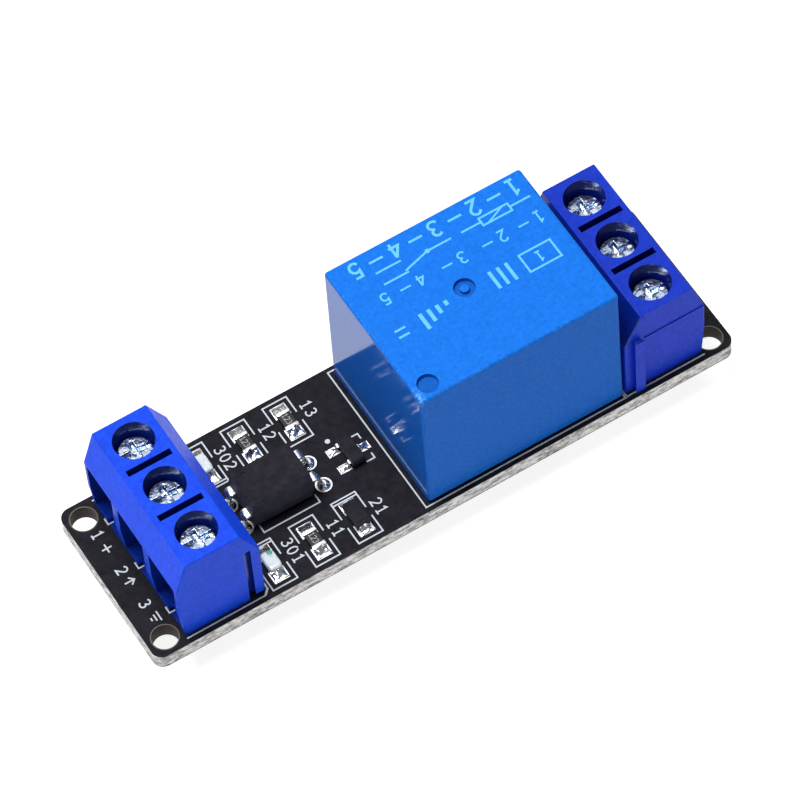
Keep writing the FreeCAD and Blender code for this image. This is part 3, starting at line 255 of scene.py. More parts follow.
def relay_finish(name, low, high, specular, share=1.0):
    """The relay's blue times share, with roughness from low to high, pale specks along the
    top's front and left edges, chips at the corner between them, and a deeper blue painted
    into the roof's two round dimples as painted shade. A share below one paints the blue
    darker, as painted shade. The case's top is at Z 19.8, its front at Y -7.75 and its left
    end at X -1.75."""
    item = Finish(name, roughness=(low + high) / 2, Specular_IOR_Level=specular)
    dark, light = shares(share, *RELAY_TONES)
    tone = item.ramp(item.noise(0.35, detail=6, rough=0.7), (0.3, dark), (0.7, light))
    front, left = item.within(1, -7.35, -7.65), item.within(0, -1.35, -1.65)
    border = item.times(item.within(2, 19.45, 19.75), item.math("MAXIMUM", front, left))
    corner = item.times(item.within(2, 18.9, 19.75), item.within(1, -5.9, -7.2),
                        item.within(0, -0.9, -1.55))
    grains = item.noise(0.30, detail=4, rough=0.8)
    specks = item.times(item.ramp(grains, (0.54, 0.0), (0.62, 1.0)), border)
    chips = item.times(item.ramp(grains, (0.45, 0.0), (0.55, 1.0)), corner)
    worn = item.math("MAXIMUM", item.times(specks, 0.30), item.times(chips, 0.90))
    # Painted shade: a deeper blue is painted into the roof's two round dimples, in a ring round
    # the middle one's nub and over all of the other.
    flat_place = item.step("VectorMath", operation="MULTIPLY", i0=item.place, i1=(1, 1, 0))
    middle, vent = (item.away(flat_place.outputs[0], x, y, 2) for x, y in ROOF_MARKS)
    middle = item.ramp(middle, (0.185, 0.0), (0.205, 0.55), (0.455, 0.55), (0.475, 0.0))
    painted_dimple_shade = item.math("MAXIMUM", middle, item.ramp(vent, (0.455, 0.55), (0.475, 0.0)))
    tone = item.blend(painted_dimple_shade, tone, (0.002, 0.04, 0.22))
    fleck = item.ramp(item.noise(0.14, detail=2, rough=0.8), (0.72, 0.0), (0.82, 0.12))
    pale = item.math("MAXIMUM", worn, fleck)
    item.feed("Base Color", item.blend(pale, tone, (0.16, 0.42, 0.80)))
    item.patchy("Roughness", 0.5, low, high, detail=4)
    return item


relay_blue = relay_finish("relay_blue", low=0.40, high=0.55, specular=0.05)
relay_blue.bump(relay_blue.noise(0.16, detail=4), 0.005)
keep("relay_blue", relay_blue)
# Painted shade: the case's polished ends take the blue at 0.86 of its brightness.
relay_polished_shaded_ends = relay_finish("relay_polished_shaded_ends", low=0.07, high=0.12, specular=0.16, share=0.86)
relay_polished_shaded_ends.bump(relay_polished_shaded_ends.noise(0.9, detail=2), 0.0015)


def terminal_finish(name, share, low, high, specular):
    """The terminals' blue times share, with roughness from low to high."""
    item = Finish(name, roughness=(low + high) / 2, Specular_IOR_Level=specular)
    grain = item.noise(0.5, detail=5, rough=0.7)
    where = item.within(0, 9, 11)

    def by_block(pairs):
        """The tones of the input block, and past the middle of the relay those of the output."""
        ramps = []
        for pair in pairs:
            dark, light = shares(share, *pair)
            ramps.append(item.ramp(grain, (0.3, dark), (0.7, light)))
        return item.blend(where, *ramps)

    # Painted light: faces that do not face up get the paler side tones, and the tops the deeper
    # ones.
    painted_light_by_facing = item.ramp(item.facing(2), (0.7, 0.0), (0.9, 1.0))
    item.feed("Base Color", item.blend(painted_light_by_facing, by_block(TERMINAL_SIDES_PAINTED_PALER), by_block(TERMINAL_TOPS)))
    item.patchy("Roughness", 0.4, low, high, detail=3)
    item.bump(item.noise(0.22, detail=4), 0.006)
    return item


terminal_blue = terminal_finish("terminal_blue", share=1.0, low=0.30, high=0.46, specular=0.07)
keep("terminal_blue", terminal_blue)
# Painted shade: the same blue at 0.36 of its brightness, for the faces inside the wells, slots
# and chambers and on the slope beside the relay.
terminal_inside_painted_shade = terminal_finish("terminal_inside_painted_shade", share=0.36, low=0.12, high=0.22,
                                  specular=0.45)

# %% [markdown]
# The black mouldings differ in grain: the relay's base is plain, and the epoxy of the diode,
# transistor and optocoupler is filled with fine sand, which gives it a dusty, matte grey. Its
# sides and underside are painted paler than the top, as painted light. The resistors are black
# glass over ceramic. A lamp is milky resin on a white carrier, and one of the two has a teal
# mark.

# %% Black mouldings, ceramics and lamps
black = Finish("black_moulding", roughness=0.45)
black.patchy("Base Color", 0.8, (0.012, 0.012, 0.013), (0.022, 0.022, 0.024))
black.bump(black.noise(0.2), 0.006)
keep("black_moulding", black)

epoxy = Finish("epoxy_black", roughness=0.55, Specular_IOR_Level=0.05)
patches = epoxy.noise(0.9, detail=6, rough=0.7)
top = epoxy.ramp(patches, (0.34, (0.0085, 0.0082, 0.0125)), (0.66, (0.0190, 0.0180, 0.0240)))
# Painted light: the sides and underside get these paler tones, and the top the darker ones.
painted_paler_sides = epoxy.ramp(patches, (0.34, (0.036, 0.035, 0.050)), (0.66, (0.064, 0.062, 0.080)))
painted_light_by_facing = epoxy.ramp(epoxy.facing(2), (0.35, 0.0), (0.65, 1.0))
epoxy.feed("Base Color", epoxy.blend(painted_light_by_facing, painted_paler_sides, top))
epoxy.patchy("Roughness", 0.5, 0.48, 0.66)
epoxy.bump(epoxy.noise(0.10, detail=4, rough=0.8), 0.008)
keep("epoxy_black", epoxy)

glaze = Finish("ceramic_black", roughness=0.34, Specular_IOR_Level=0.25)
glaze.patchy("Base Color", 0.4, (0.008, 0.008, 0.009), (0.020, 0.019, 0.020))
glaze.bump(glaze.noise(0.15), 0.004)
keep("ceramic_black", glaze)

carrier_white = Finish("ceramic_white", roughness=0.35)
carrier_white.patchy("Base Color", 0.5, (0.62, 0.62, 0.58), (0.80, 0.80, 0.76))
keep("ceramic_white", carrier_white)

lens = Finish("lamp_clear", roughness=0.22, IOR=1.5, Subsurface_Weight=0.2,
              Subsurface_Scale=0.0004, Coat_Weight=0.3)
lens.patchy("Base Color", 0.45, (0.36, 0.42, 0.46), (0.60, 0.64, 0.65), stops=(0.32, 0.52))
lens.bump(lens.noise(0.4, detail=1), 0.012)
keep("lamp_clear", lens)

teal_mark = Finish("teal_mark", roughness=0.4)
teal_mark.patchy("Base Color", 0.2, (0.02, 0.20, 0.14), (0.05, 0.34, 0.25))

# %% [markdown]
# The metals are plated, so their colour is the plating's and their marks are fine: brushed
# lines on pressed strip, a frosty grain on zinc, and the smooth, lightly wrinkled skin of
# solder.

# %% Metals
def metal(slot_name, dark, light, roughness, grain, stretch=(1, 1, 1), relief=0.004, detail=3):
    """A plated metal: two close tones in patches, and fine marks, grain millimetres across and
    relief millimetres deep, drawn out by stretch along X, Y and Z."""
    item = Finish(slot_name, roughness=roughness, metallic=1.0)
    item.patchy("Base Color", grain * 6, dark, light, detail=4)
    marks = item.noise(grain, detail=detail, stretch=stretch)
    rougher = min(1.0, roughness * 1.5)
    item.feed("Roughness", item.ramp(marks, (0.25, roughness * 0.7), (0.75, rougher)))
    item.bump(marks, relief)
    keep(slot_name, item)


metal("copper_wire", (0.42, 0.13, 0.05), (0.72, 0.27, 0.11), 0.32, 0.12, (1, 1, 12), 0.02)
metal("plated_iron", (0.40, 0.40, 0.39), (0.56, 0.56, 0.55), 0.38, 0.10, (8, 1, 1))
metal("spring_bronze", (0.56, 0.34, 0.16), (0.72, 0.47, 0.24), 0.30, 0.08, (1, 8, 1))
metal("contact_silver", (0.78, 0.77, 0.74), (0.92, 0.91, 0.88), 0.24, 0.10)
metal("tinned_brass", (0.52, 0.51, 0.48), (0.72, 0.71, 0.68), 0.34, 0.10, (1, 6, 1))
metal("zinc_screw", (0.27, 0.33, 0.46), (0.62, 0.71, 0.88), 0.17, 0.45, relief=0.05, detail=1)
metal("nickel_clamp", (0.46, 0.46, 0.44), (0.66, 0.66, 0.63), 0.34, 0.09, (1, 1, 6))
metal("tin_ends", (0.70, 0.70, 0.71), (0.93, 0.93, 0.93), 0.28, 0.30, relief=0.012, detail=1)
metal("tinned_pad", (0.40, 0.40, 0.40), (0.78, 0.78, 0.77), 0.38, 0.20)
metal("solder", (0.74, 0.74, 0.75), (0.97, 0.97, 0.97), 0.20, 0.60, relief=0.07, detail=1)

# %% [markdown]
# Print is a thin, matte ink, a little uneven where it was pressed through the screen. Copper
# under the mask shows only as a slightly warmer black.

# %% Inks and buried copper
print_ink = Finish("white_print", roughness=0.55)
print_ink.patchy("Base Color", 0.10, (0.30, 0.33, 0.36), (0.46, 0.50, 0.54),
                 stops=(0.25, 0.55), detail=3, rough=0.8)
print_ink.bump(print_ink.noise(0.08), 0.004)
keep("white_print", print_ink)

roof_ink = Finish("roof_ink", roughness=0.5, Specular_IOR_Level=0.2)
roof_ink.patchy("Base Color", 0.12, (0.035, 0.24, 0.70), (0.11, 0.44, 0.86),
                stops=(0.30, 0.52), detail=4, rough=0.8)

pale_figures = Finish("pale_figures", roughness=0.5)
pale_figures.patchy("Base Color", 0.1, (0.16, 0.16, 0.17), (0.34, 0.34, 0.36))

buried = Finish("buried_copper", roughness=0.45, Specular_IOR_Level=0.3)
buried.patchy("Base Color", 0.7, (0.022, 0.019, 0.020), (0.036, 0.031, 0.031), detail=5)

# %% [markdown]
# The record names a material slot for each piece, and the slot's finish goes on the piece.

# %% Finishes onto the pieces
slot_of = {row["node"]: row["material_slot"] for row in frame["record"]["subparts"]}
for name, piece in nodes.items():
    if not piece.material_slots:
        piece.data.materials.append(finishes[slot_of[name]])
    for place in piece.material_slots:
        place.material = finishes[slot_of[name]]
print(len(finishes), "finishes on", len(nodes), "pieces")

# %% [markdown]
# A solid from the model has knife edges. Real mouldings and pressings have small radii that
# catch the light, so the pieces that show get a rounded copy: the mesh's loose triangles are
# merged, flat neighbours are joined into whole faces, and a Bevel modifier rounds what is left.
# Weighted normals then keep the large faces flat. The copy stands for the solid, which stays in
# the physics.

# %% Rounded copies
def body_of(name):
    """The body that a piece of the model moves with."""
    bodies = frame["record"]["behaviour"]["bodies"]
    return next(body for body, members in bodies.items() if name in members)


def softened(name, radius, segments=3, sharp=28):
    """A copy of a solid: every edge sharper than sharp degrees is rounded to radius mm."""
    mesh = bpy.data.meshes.new(name + "_rounded")
    work = bmesh.new()
    work.from_mesh(nodes[name].data)
    bmesh.ops.remove_doubles(work, verts=work.verts, dist=0.0008 * MM)
    bmesh.ops.dissolve_limit(work, angle_limit=math.radians(0.6), verts=work.verts,
                             edges=work.edges)
    bmesh.ops.recalc_face_normals(work, faces=work.faces)
    for face in work.faces:
        face.smooth = True
    work.to_mesh(mesh)
    work.free()
    copy = bpy.data.objects.new(mesh.name, mesh)
    bpy.context.scene.collection.objects.link(copy)
    mesh.materials.clear()
    mesh.materials.append(finishes[slot_of[name]])
    edges = copy.modifiers.new("edges", "BEVEL")
    edges.width = radius * MM
    edges.segments = segments
    edges.limit_method = "ANGLE"
    edges.angle_limit = math.radians(sharp)
    edges.use_clamp_overlap = True
    normals = copy.modifiers.new("normals", "WEIGHTED_NORMAL")
    normals.weight = 100
    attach(copy, body_of(name))
    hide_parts(name)
    return copy


for side, _, _ in BLOCKS:
    for number in WAYS:
        softened(f"{side}_clamp_{number}", 0.06)
        softened(f"{side}_bar_{number}", 0.06)
for name in ("optocoupler_body", "transistor_body", "diode_body"):
    softened(name, 0.07)
for name in ("resistor_coil", "resistor_signal", "resistor_base"):
    softened(name + "_body", 0.03, segments=2)
    softened(name + "_ends", 0.07)
for name, _ in LAMPS:
    softened(name + "_carrier", 0.03, segments=2)
    softened(name + "_ends", 0.06)
softened("diode_leads", 0.03, segments=2)
print("rounded the mouldings and pressings")

# %% [markdown]
# Three pieces get a second finish on some of their faces. The relay's case has polished ends
# and satin sides: the photo shows the board mirrored in its end, and none of that in its top or
# front. The ends' blue is also painted 0.86 times as dark, as painted shade. Its roof is lowered
# by a hundredth of a millimetre, which leaves room for the print inside the box of the solids.
# The two terminal housings are painted darker, as painted shade, and made shinier inside their
# wells, slots and chambers, and on the output block's slope beside the relay, where the relay
# shades it. Those are the faces whose middles lie well under the block's sloped outline, or on
# that slope.

# %% Relay case and terminal housings
def rows_of(items, what):
    """A triple of numbers for each point or face of a mesh, one row each."""
    values = np.empty(3 * len(items))
    items.foreach_get(what, values)
    return values.reshape(-1, 3)


def second_finish(item, recipe, chosen):
    """Gives the chosen faces of a copy another finish."""
    item.data.materials.append(recipe.material)
    item.data.polygons.foreach_set("material_index", chosen.astype(np.int32))
    print(item.name, int(chosen.sum()), "faces of the second finish")


ROOF_DROP = 0.012
case = softened("relay_case", 0.04, sharp=50)
spots = rows_of(case.data.vertices, "co")
spots[spots[:, 2] > 19.79 * MM, 2] -= ROOF_DROP * MM
case.data.vertices.foreach_set("co", spots.ravel())
second_finish(case, relay_polished_shaded_ends, np.abs(rows_of(case.data.polygons, "normal")[:, 0]) > 0.9)

CHAMBER_FLOOR, CHAMBER_TOP, WELL_TOP, INNER_HALF = 4.95, 11.4, 14.4, 7.2
for side, x, inward in BLOCKS:
    housing = softened(f"{side}_housing", 0.05, sharp=50)
    middle = rows_of(housing.data.polygons, "center") / MM
    normal = rows_of(housing.data.polygons, "normal")
    reach, across, height = inward * (middle[:, 0] - x), np.abs(middle[:, 1]), middle[:, 2]
    # The faces painted darker as painted shade: inside the wells, slots and chambers, and the
    # output block's slope that the relay shades.
    chamber = (height > CHAMBER_FLOOR) & (height < CHAMBER_TOP) & (reach > -3.3) & (reach < 3.9)
    well = (height >= CHAMBER_TOP) & (height < WELL_TOP) & (np.abs(reach) < 2.45)
    slope = ((normal[:, 0] < -0.5) & (middle[:, 0] > 17.8) & (middle[:, 0] < 19.4)
             & (height > CHAMBER_TOP))
    inside = (chamber | well) & (across < INNER_HALF)
    second_finish(housing, terminal_inside_painted_shade, inside | slope)

# %% [markdown]
# Everything from here on is a surface worked out with numpy: a grid of points, one row for each
# station and one column for each point of a section, joined by four-sided faces. Each section
# closes, so its last column is joined to the first. An end is closed by a row whose points all
# lie in its middle; merging doubles turns that row into one pole.

# %% Surfaces from grids
def weave(rows, columns, closed_rows=False):
    """The four-sided faces of a grid of points, as their numbers."""
    r = np.arange(rows if closed_rows else rows - 1)[:, None] * columns
    c = np.arange(columns)[None, :]
    below = (r + columns) % (rows * columns)
    beside = (c + 1) % columns
    return np.stack([r + c, r + beside, below + beside, below + c], -1).reshape(-1, 4)


def capped(grid):
    """Closes a tube: a row in the middle of its first section, and one in that of its last."""
    first = np.repeat(grid[:1].mean(1, keepdims=True), grid.shape[1], 1)
    last = np.repeat(grid[-1:].mean(1, keepdims=True), grid.shape[1], 1)
    return np.concatenate([first, grid, last])


def tube(grid, closed=False):
    """One shell: the points of a grid of closed sections, and its faces."""
    grid = grid if closed else capped(grid)
    return grid.reshape(-1, 3), weave(grid.shape[0], grid.shape[1], closed_rows=closed)


def staggered(shells):
    """Lifts each drawn line a hair above the one before, in turns of six, so that no two tops
    lie in one plane where they cross."""
    return [(points + np.array([0, 0, 0.0012 * (number % 6)]), faces)
            for number, (points, faces) in enumerate(shells)]


def shells_to_piece(name, shells, slot_name, finish=None, body="board", stands_for=(), crease=32):
    """Puts shells in millimetres into one mesh, merges doubles and turns the faces outwards."""
    starts = np.cumsum([0] + [len(points) for points, _ in shells[:-1]])
    points = np.concatenate([points for points, _ in shells]) * MM
    faces = np.concatenate([faces + start for (_, faces), start in zip(shells, starts)])
    mesh = bpy.data.meshes.new(name)
    mesh.from_pydata(points.tolist(), [], faces.tolist())
    work = bmesh.new()
    work.from_mesh(mesh)
    bmesh.ops.remove_doubles(work, verts=work.verts, dist=0.0003 * MM)
    bmesh.ops.recalc_face_normals(work, faces=work.faces)
    work.to_mesh(mesh)
    work.free()
    mesh.shade_smooth()
    mesh.set_sharp_from_angle(angle=math.radians(crease))
    mesh.materials.append(finish or finishes[slot_name])
    item = bpy.data.objects.new(name, mesh)
    bpy.context.scene.collection.objects.link(item)
    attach(item, body)
    if stands_for:
        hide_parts(*stands_for)
    print(name, len(mesh.polygons), "faces")

# %% [markdown]
# A drawn line is a thin, low bar. Its outline comes from moving each point of the stroke to both
# sides, by half the width along the mean of the two neighbouring normals, and further at a
# corner so that the bar keeps its width. Digits are a few such strokes, as on a plotted drawing:
# that is how print masks for boards are made.

# %% Strokes and digits
def arc(x, y, rx, ry, start, end, count=9):
    """Points on an ellipse, from one angle to another in degrees."""
    angle = np.radians(np.linspace(start, end, count))
    return np.stack([x + rx * np.cos(angle), y + ry * np.sin(angle)], 1)


def stroke(points, width, low, high, closed=False):
    """A drawn line: each point moves out by width / (2 cos(bend / 2)) both ways."""
    p = np.asarray(points, float)
    ahead = np.roll(p, -1, 0) - p
    ahead /= np.maximum(np.linalg.norm(ahead, axis=1, keepdims=True), 1e-9)
    if not closed:
        ahead[-1] = ahead[-2]
    behind = np.roll(ahead, 1, 0)
    if not closed:
        behind[0] = ahead[0]
    mean = ahead + behind
    mean /= np.maximum(np.linalg.norm(mean, axis=1, keepdims=True), 1e-9)
    reach = width / 2 / np.clip((mean * ahead).sum(1, keepdims=True), 0.4, 1)
    side = np.stack([-mean[:, 1], mean[:, 0]], 1) * reach
    corners = [(p + side, low), (p + side, high), (p - side, high), (p - side, low)]
    grid = np.stack([np.column_stack([xy, np.full(len(xy), z)]) for xy, z in corners], 1)
    return tube(grid, closed)


DIGITS = {
    "0": [arc(0.3, 0.5, 0.28, 0.5, 90, 430, 20)],
    "1": [[(0.08, 0.8), (0.32, 1.0), (0.32, 0.0)], [(0.08, 0.0), (0.56, 0.0)]],
    "2": [np.concatenate([arc(0.3, 0.72, 0.27, 0.28, 165, -35), [(0.03, 0.0), (0.58, 0.0)]])],
    "3": [arc(0.27, 0.76, 0.25, 0.24, 150, -85), arc(0.27, 0.27, 0.30, 0.27, 85, -155)],
    "4": [[(0.45, 0.0), (0.45, 1.0)], [(0.45, 1.0), (0.02, 0.3), (0.62, 0.3)]],
    "5": [np.concatenate([[(0.54, 1.0), (0.12, 1.0), (0.08, 0.57)],
                          arc(0.27, 0.33, 0.30, 0.33, 105, -150)])],
}


def write(text, start, along, up, height, width, low, high, step=0.95):
    """Digits from start on, in the direction along, with their tops towards up."""
    along, up = np.array(along, float), np.array(up, float)
    shells = []
    for place, digit in enumerate(text):
        for line in DIGITS[digit]:
            line = np.asarray(line, float) * height
            origin = np.array(start) + (line[:, :1] + place * step * height) * along
            shells.append(stroke(origin + line[:, 1:] * up, width, low, high))
    return shells

# %% [markdown]
# Print on the board: each part has a plain number beside it, and each input terminal has its
# number and a plain sign, which is a plus, an arrow inwards or the bars of a ground. The print
# stands on the board, from one height to another, and reads from the input end.

# %% Numbers on the board
BOARD_PRINT = (BOARD_TOP, BOARD_TOP + 0.03)
DOWN, EAST = (0, -1), (1, 0)
SIGN_X, GROUND_Y = -26.40, -4.75
labels = []


def board_digits(text, x, y, width):
    """Printed digits from a place on."""
    labels.extend(write(text, (x, y), DOWN, EAST, 0.95, width, *BOARD_PRINT))


def board_line(*points, width=0.14):
    """A printed line, with X from the middle of the signs."""
    labels.append(stroke([(SIGN_X + x, y) for x, y in points], width, *BOARD_PRINT))


for text, x, y in (("11", -9.95, -4.75), ("12", -9.90, 6.45), ("13", -5.80, 6.55),
                   ("21", -5.82, -4.90), ("301", -14.03, -4.22), ("302", -14.13, 6.62)):
    board_digits(text, x, y, 0.13)
for text, y in (("1", 5.05), ("2", 0.95), ("3", -2.85)):
    board_digits(text, -26.87, y, 0.14)
board_line((-0.45, 3.2), (0.45, 3.2))
board_line((0, 3.65), (0, 2.75))
board_line((-0.45, -0.6), (0.42, -0.6))
board_line((0.05, -0.22), (0.45, -0.6), (0.05, -0.98))
for x, reach in ((0.40, 0.5), (0.05, 0.33), (-0.30, 0.16)):
    board_line((x, GROUND_Y + reach), (x, GROUND_Y - reach), width=0.13)
board_line((0.47, GROUND_Y), (0.40, GROUND_Y), width=0.13)
shells_to_piece("board_numbers", staggered(labels), "white_print")

# %% [markdown]
# The roof of the relay is printed all over. Here it carries what any relay could: its wiring
# diagram, its leads numbered in two rows, a numbered box and rows of plain bars, in the same
# pale cyan. It reads from the board's back edge.

# %% Signs on the relay's roof
ROOF_PRINT = (19.77, 19.791)
WEST, SOUTH = (-1, 0), (0, -1)
signs = []


def roof_line(*points, width=0.18, closed=False):
    """A printed line on the roof."""
    signs.append(stroke(points, width, *ROOF_PRINT, closed))


def roof_digits(text, x, y, height, width):
    """Printed digits on the roof, from a place on."""
    signs.extend(write(text, (x, y), WEST, SOUTH, height, width, *ROOF_PRINT))


for number, x in zip("12345", (16.3, 12.5, 8.7, 4.9, 1.1)):
    roof_digits(number, x, 7.05, 1.5, 0.24)
    if number != "5":
        roof_line((x - 1.65, 6.3), (x - 2.95, 6.3), width=0.22)
roof_line((16.6, 4.75), (14.6, 4.75))
roof_line((14.6, 5.15), (14.6, 4.35), (11.8, 4.35), (11.8, 5.15), closed=True)
roof_line((14.1, 5.15), (12.3, 4.35), width=0.16)
roof_line((11.8, 4.75), (9.9, 4.75))
roof_line((8.9, 4.75), (6.6, 4.75))
roof_line((6.6, 4.75), (4.1, 4.05))
roof_line((4.3, 5.15), (1.9, 5.15))
roof_line((4.3, 3.85), (1.9, 3.85))
roof_line(*arc(6.6, 4.75, 0.16, 0.16, 0, 340, 10), width=0.12, closed=True)
for number, x in zip("12345", (16.4, 12.9, 9.0, 5.0, 1.6)):
    roof_digits(number, x, 3.15, 1.1, 0.16)
    if number != "5":
        roof_line((x - 1.3, 2.6), (x - 2.3, 2.6), width=0.16)
roof_line((15.6, 0.2), (12.6, 0.2), (12.6, -1.7), (15.6, -1.7), closed=True)
roof_digits("1", 14.35, -0.28, 0.95, 0.15)
for x in (11.3, 10.5, 9.7):
    roof_line((x, 0.2), (x, -1.7), width=0.30)
for x, end in ((5.2, -0.7), (4.4, -1.1), (3.6, -1.5), (2.8, -1.9)):
    roof_line((x, -0.2), (x, end), width=0.34)
for y in (-0.6, -1.3):
    roof_line((1.2, y), (0.2, y), width=0.2)
shells_to_piece("roof_signs", staggered(signs), "white_print", finish=roof_ink.material)

# %% [markdown]
# The resistors carry small pale figures, plain counting numbers.

# %% Numbers on the resistors
RESISTOR_TOP = PAD_TOP + 0.45
figures = []
for x, y in RESISTORS:
    figures += write("123", (x - 0.26, y + 0.54), DOWN, EAST, height=0.50, width=0.07,
                     low=RESISTOR_TOP - 0.01, high=RESISTOR_TOP + 0.01, step=0.74)
shells_to_piece("resistor_numbers", staggered(figures), "white_print",
                finish=pale_figures.material)

# %% [markdown]
# A lead is a strip stamped from sheet and bent. It is made by carrying a section, a rectangle
# with its corners cut off, along a path in an upright plane. The widths change along the path:
# the optocoupler's leads are wide at the body and narrow where they go through the board. The
# photo shows its two right leads leaning outwards before they enter their holes.

# %% Bent strips
def rounded_path(corners, radius):
    """Straight runs through the corners: each inner corner becomes the curve of weights
    (1 - t)^2, 2 t (1 - t) and t^2 between points at radius before it, on it and after it."""
    corners = np.asarray(corners, float)
    spots = [corners[:1]]
    t = np.linspace(0, 1, 7)[:, None]
    for before, here, after in zip(corners[:-2], corners[1:-1], corners[2:]):
        a = here + (before - here) / np.linalg.norm(before - here) * radius
        b = here + (after - here) / np.linalg.norm(after - here) * radius
        spots.append((1 - t) ** 2 * a + 2 * t * (1 - t) * here + t ** 2 * b)
    return np.concatenate(spots + [corners[-1:]])


def bent_strip(path, widths, thickness, y):
    """A strip along a path of (x, z): a section's corners lie along the path's normal, by half
    the thickness, and across its plane, by half the width there."""
    ahead = np.gradient(path, axis=0)
    ahead /= np.linalg.norm(ahead, axis=1, keepdims=True)
    normal = np.stack([-ahead[:, 1], ahead[:, 0]], 1)
    cut = 0.25
    u = np.array([-1, -1, -1 + cut, 1 - cut, 1, 1, 1 - cut, -1 + cut]) * thickness / 2
    v = np.array([-1, 1, 1, 1, 1, -1, -1, -1], float)
    v[[0, 1, 4, 5]] *= 1 - cut * thickness / widths.mean()
    x = path[:, :1] + normal[:, :1] * u
    z = path[:, 1:] + normal[:, 1:] * u
    return tube(np.stack([x, y + widths[:, None] / 2 * v, z], -1))


def widths_by_height(path, wide, narrow, level):
    """Wide above a level, narrow below it, with a taper of 0.12 mm between."""
    share = np.clip((path[:, 1] - level) / 0.12 + 0.5, 0, 1)
    return narrow + (wide - narrow) * share


def filled(path, step=0.12):
    """The same path with points at most one step apart, spaced by its length."""
    run = np.concatenate([[0], np.cumsum(np.linalg.norm(np.diff(path, axis=0), axis=1))])
    even = np.linspace(0, run[-1], int(run[-1] / step) + 2)
    return np.stack([np.interp(even, run, path[:, 0]), np.interp(even, run, path[:, 1])], 1)


LEAD_Z, TIP_Z = 6.65, 0.02
leads = []
for y in COUPLER_ROWS:
    left = [(-15.0, LEAD_Z), (COUPLER_LEFT_X, LEAD_Z), (COUPLER_LEFT_X, TIP_Z)]
    right = [(-9.6, LEAD_Z), (-8.78, LEAD_Z), (COUPLER_RIGHT_X, 4.75), (COUPLER_RIGHT_X, TIP_Z)]
    for corners, radius in ((left, 0.22), (right, 0.20)):
        path = filled(rounded_path(corners, radius))
        widths = widths_by_height(path, wide=0.95, narrow=0.5, level=5.65)
        leads.append(bent_strip(path, widths, thickness=0.25, y=y))
shells_to_piece("optocoupler_leads_bent", leads, "tin_ends", stands_for=("optocoupler_leads",))

gull_wing = [(0.5, 5.2), (0.82, 5.2), (0.93, 4.72), (1.25, 4.71)]
legs = []
for end, y in TRANSISTOR_LEADS:
    path = filled(rounded_path(gull_wing, radius=0.10), step=0.04)
    path[:, 0] = TRANSISTOR_X + end * path[:, 0]
    legs.append(bent_strip(path, np.full(len(path), 0.42), thickness=0.13, y=y))
shells_to_piece("transistor_leads_bent", legs, "tin_ends", stands_for=("transistor_leads",))

# %% [markdown]
# Solder wets the metal end of a part and its pad, so it makes a hollow ramp between them, with a
# thin edge, and it pulls out to points at the pad's corners. The surface is a grid: t runs
# outwards from the part and s runs across. Its height falls as a power of (1 - t), bulges in the
# middle as 1 - s^4, and carries a few slow waves, because no two joints set alike.

# %% Solder on the pads
def solder_ramp(x, y, toward, near, length, near_half, far_half, high, seed):
    """One joint, from near to near + length beside a part's centre, towards a direction. Its
    height is high (0.86 (1 - t)^1.9 + 0.14 (1 - t)) times waves, times (1 - s^4)^0.6."""
    wave = np.random.default_rng(seed).uniform(0, 2 * np.pi, 6)
    t = np.linspace(0, 1, 19)[:, None]
    s = np.linspace(-1, 1, 21)[None, :]
    half = near_half + (far_half - near_half) * t ** 1.6 + 0.05 * np.sin(5 * t + wave[0])
    out = near + length * t * (0.84 + 0.16 * s ** 2 + 0.05 * np.sin(3 * s + wave[1]))
    fall = 0.86 * (1 - t) ** 1.9 + 0.14 * (1 - t)
    bulge = np.clip(1 - s ** 4, 0, 1) ** 0.6
    ripple = 1 + 0.16 * np.sin(4 * s + 5 * t + wave[2]) + 0.12 * np.sin(9 * s - 7 * t + wave[3])
    lumps = 0.05 * np.sin(6 * t + wave[4]) * np.sin(5 * s + wave[5]) * (1 - t)
    rise = 0.015 + np.maximum((high * fall * ripple + lumps + 0.05) * bulge, 0)
    across = np.broadcast_to(half * s, rise.shape)
    outward = np.broadcast_to(out, rise.shape)
    dx, dy = toward
    top = np.stack([x + dx * outward - dy * across, y + dy * outward + dx * across,
                    PAD_TOP + rise], -1)
    under = top[:, ::-1].copy()
    under[..., 2] = PAD_TOP - 0.01
    return tube(np.concatenate([top, under], 1))


ramps = []
two_ended = [(LAMP_X, y, 0.34) for _, y in LAMPS] + [(x, y, 0.47) for x, y in RESISTORS]
for number, (x, y, high) in enumerate(two_ended):
    for way in (-1, 1):
        ramps.append(solder_ramp(x, y, (0, way), near=0.93, length=0.92, near_half=0.60,
                                 far_half=0.72, high=high, seed=10 * number + way + 3))
for way in (-1, 1):
    ramps.append(solder_ramp(DIODE_X, -ROW_Y, (0, way), near=1.18, length=0.68, near_half=0.50,
                             far_half=0.74, high=0.42, seed=71 + way))
for (end, y), seed in zip(TRANSISTOR_LEADS, (91, 95, 97)):
    ramps.append(solder_ramp(TRANSISTOR_X, y, (end, 0), near=0.86, length=0.86, near_half=0.26,
                             far_half=0.42, high=0.30, seed=seed))
shells_to_piece("pad_solder", ramps, "solder", stands_for=("surface_solder",), crease=60)

# %% [markdown]
# Round each lead the solder climbs in a ring. A profile of radius against height is turned about
# the lead, and its inner end follows the lead's own section, so the ring of a flat blade is
# longer than that of a square pin.

# %% Solder round the leads
CONE_HEIGHTS = (0.0, -0.06, -0.22, -0.5, -0.85, -1.2, -1.42, -1.5)
CONE_RADII = (0.98, 0.93, 0.74, 0.54, 0.42, 0.34, 0.28, 0.20)
COLLAR_HEIGHTS = (0.045, 0.07, 0.10, 0.16, 0.28, 0.40)
COLLAR_RADII = (0.60, 0.56, 0.44, 0.32, 0.20, 0.12)


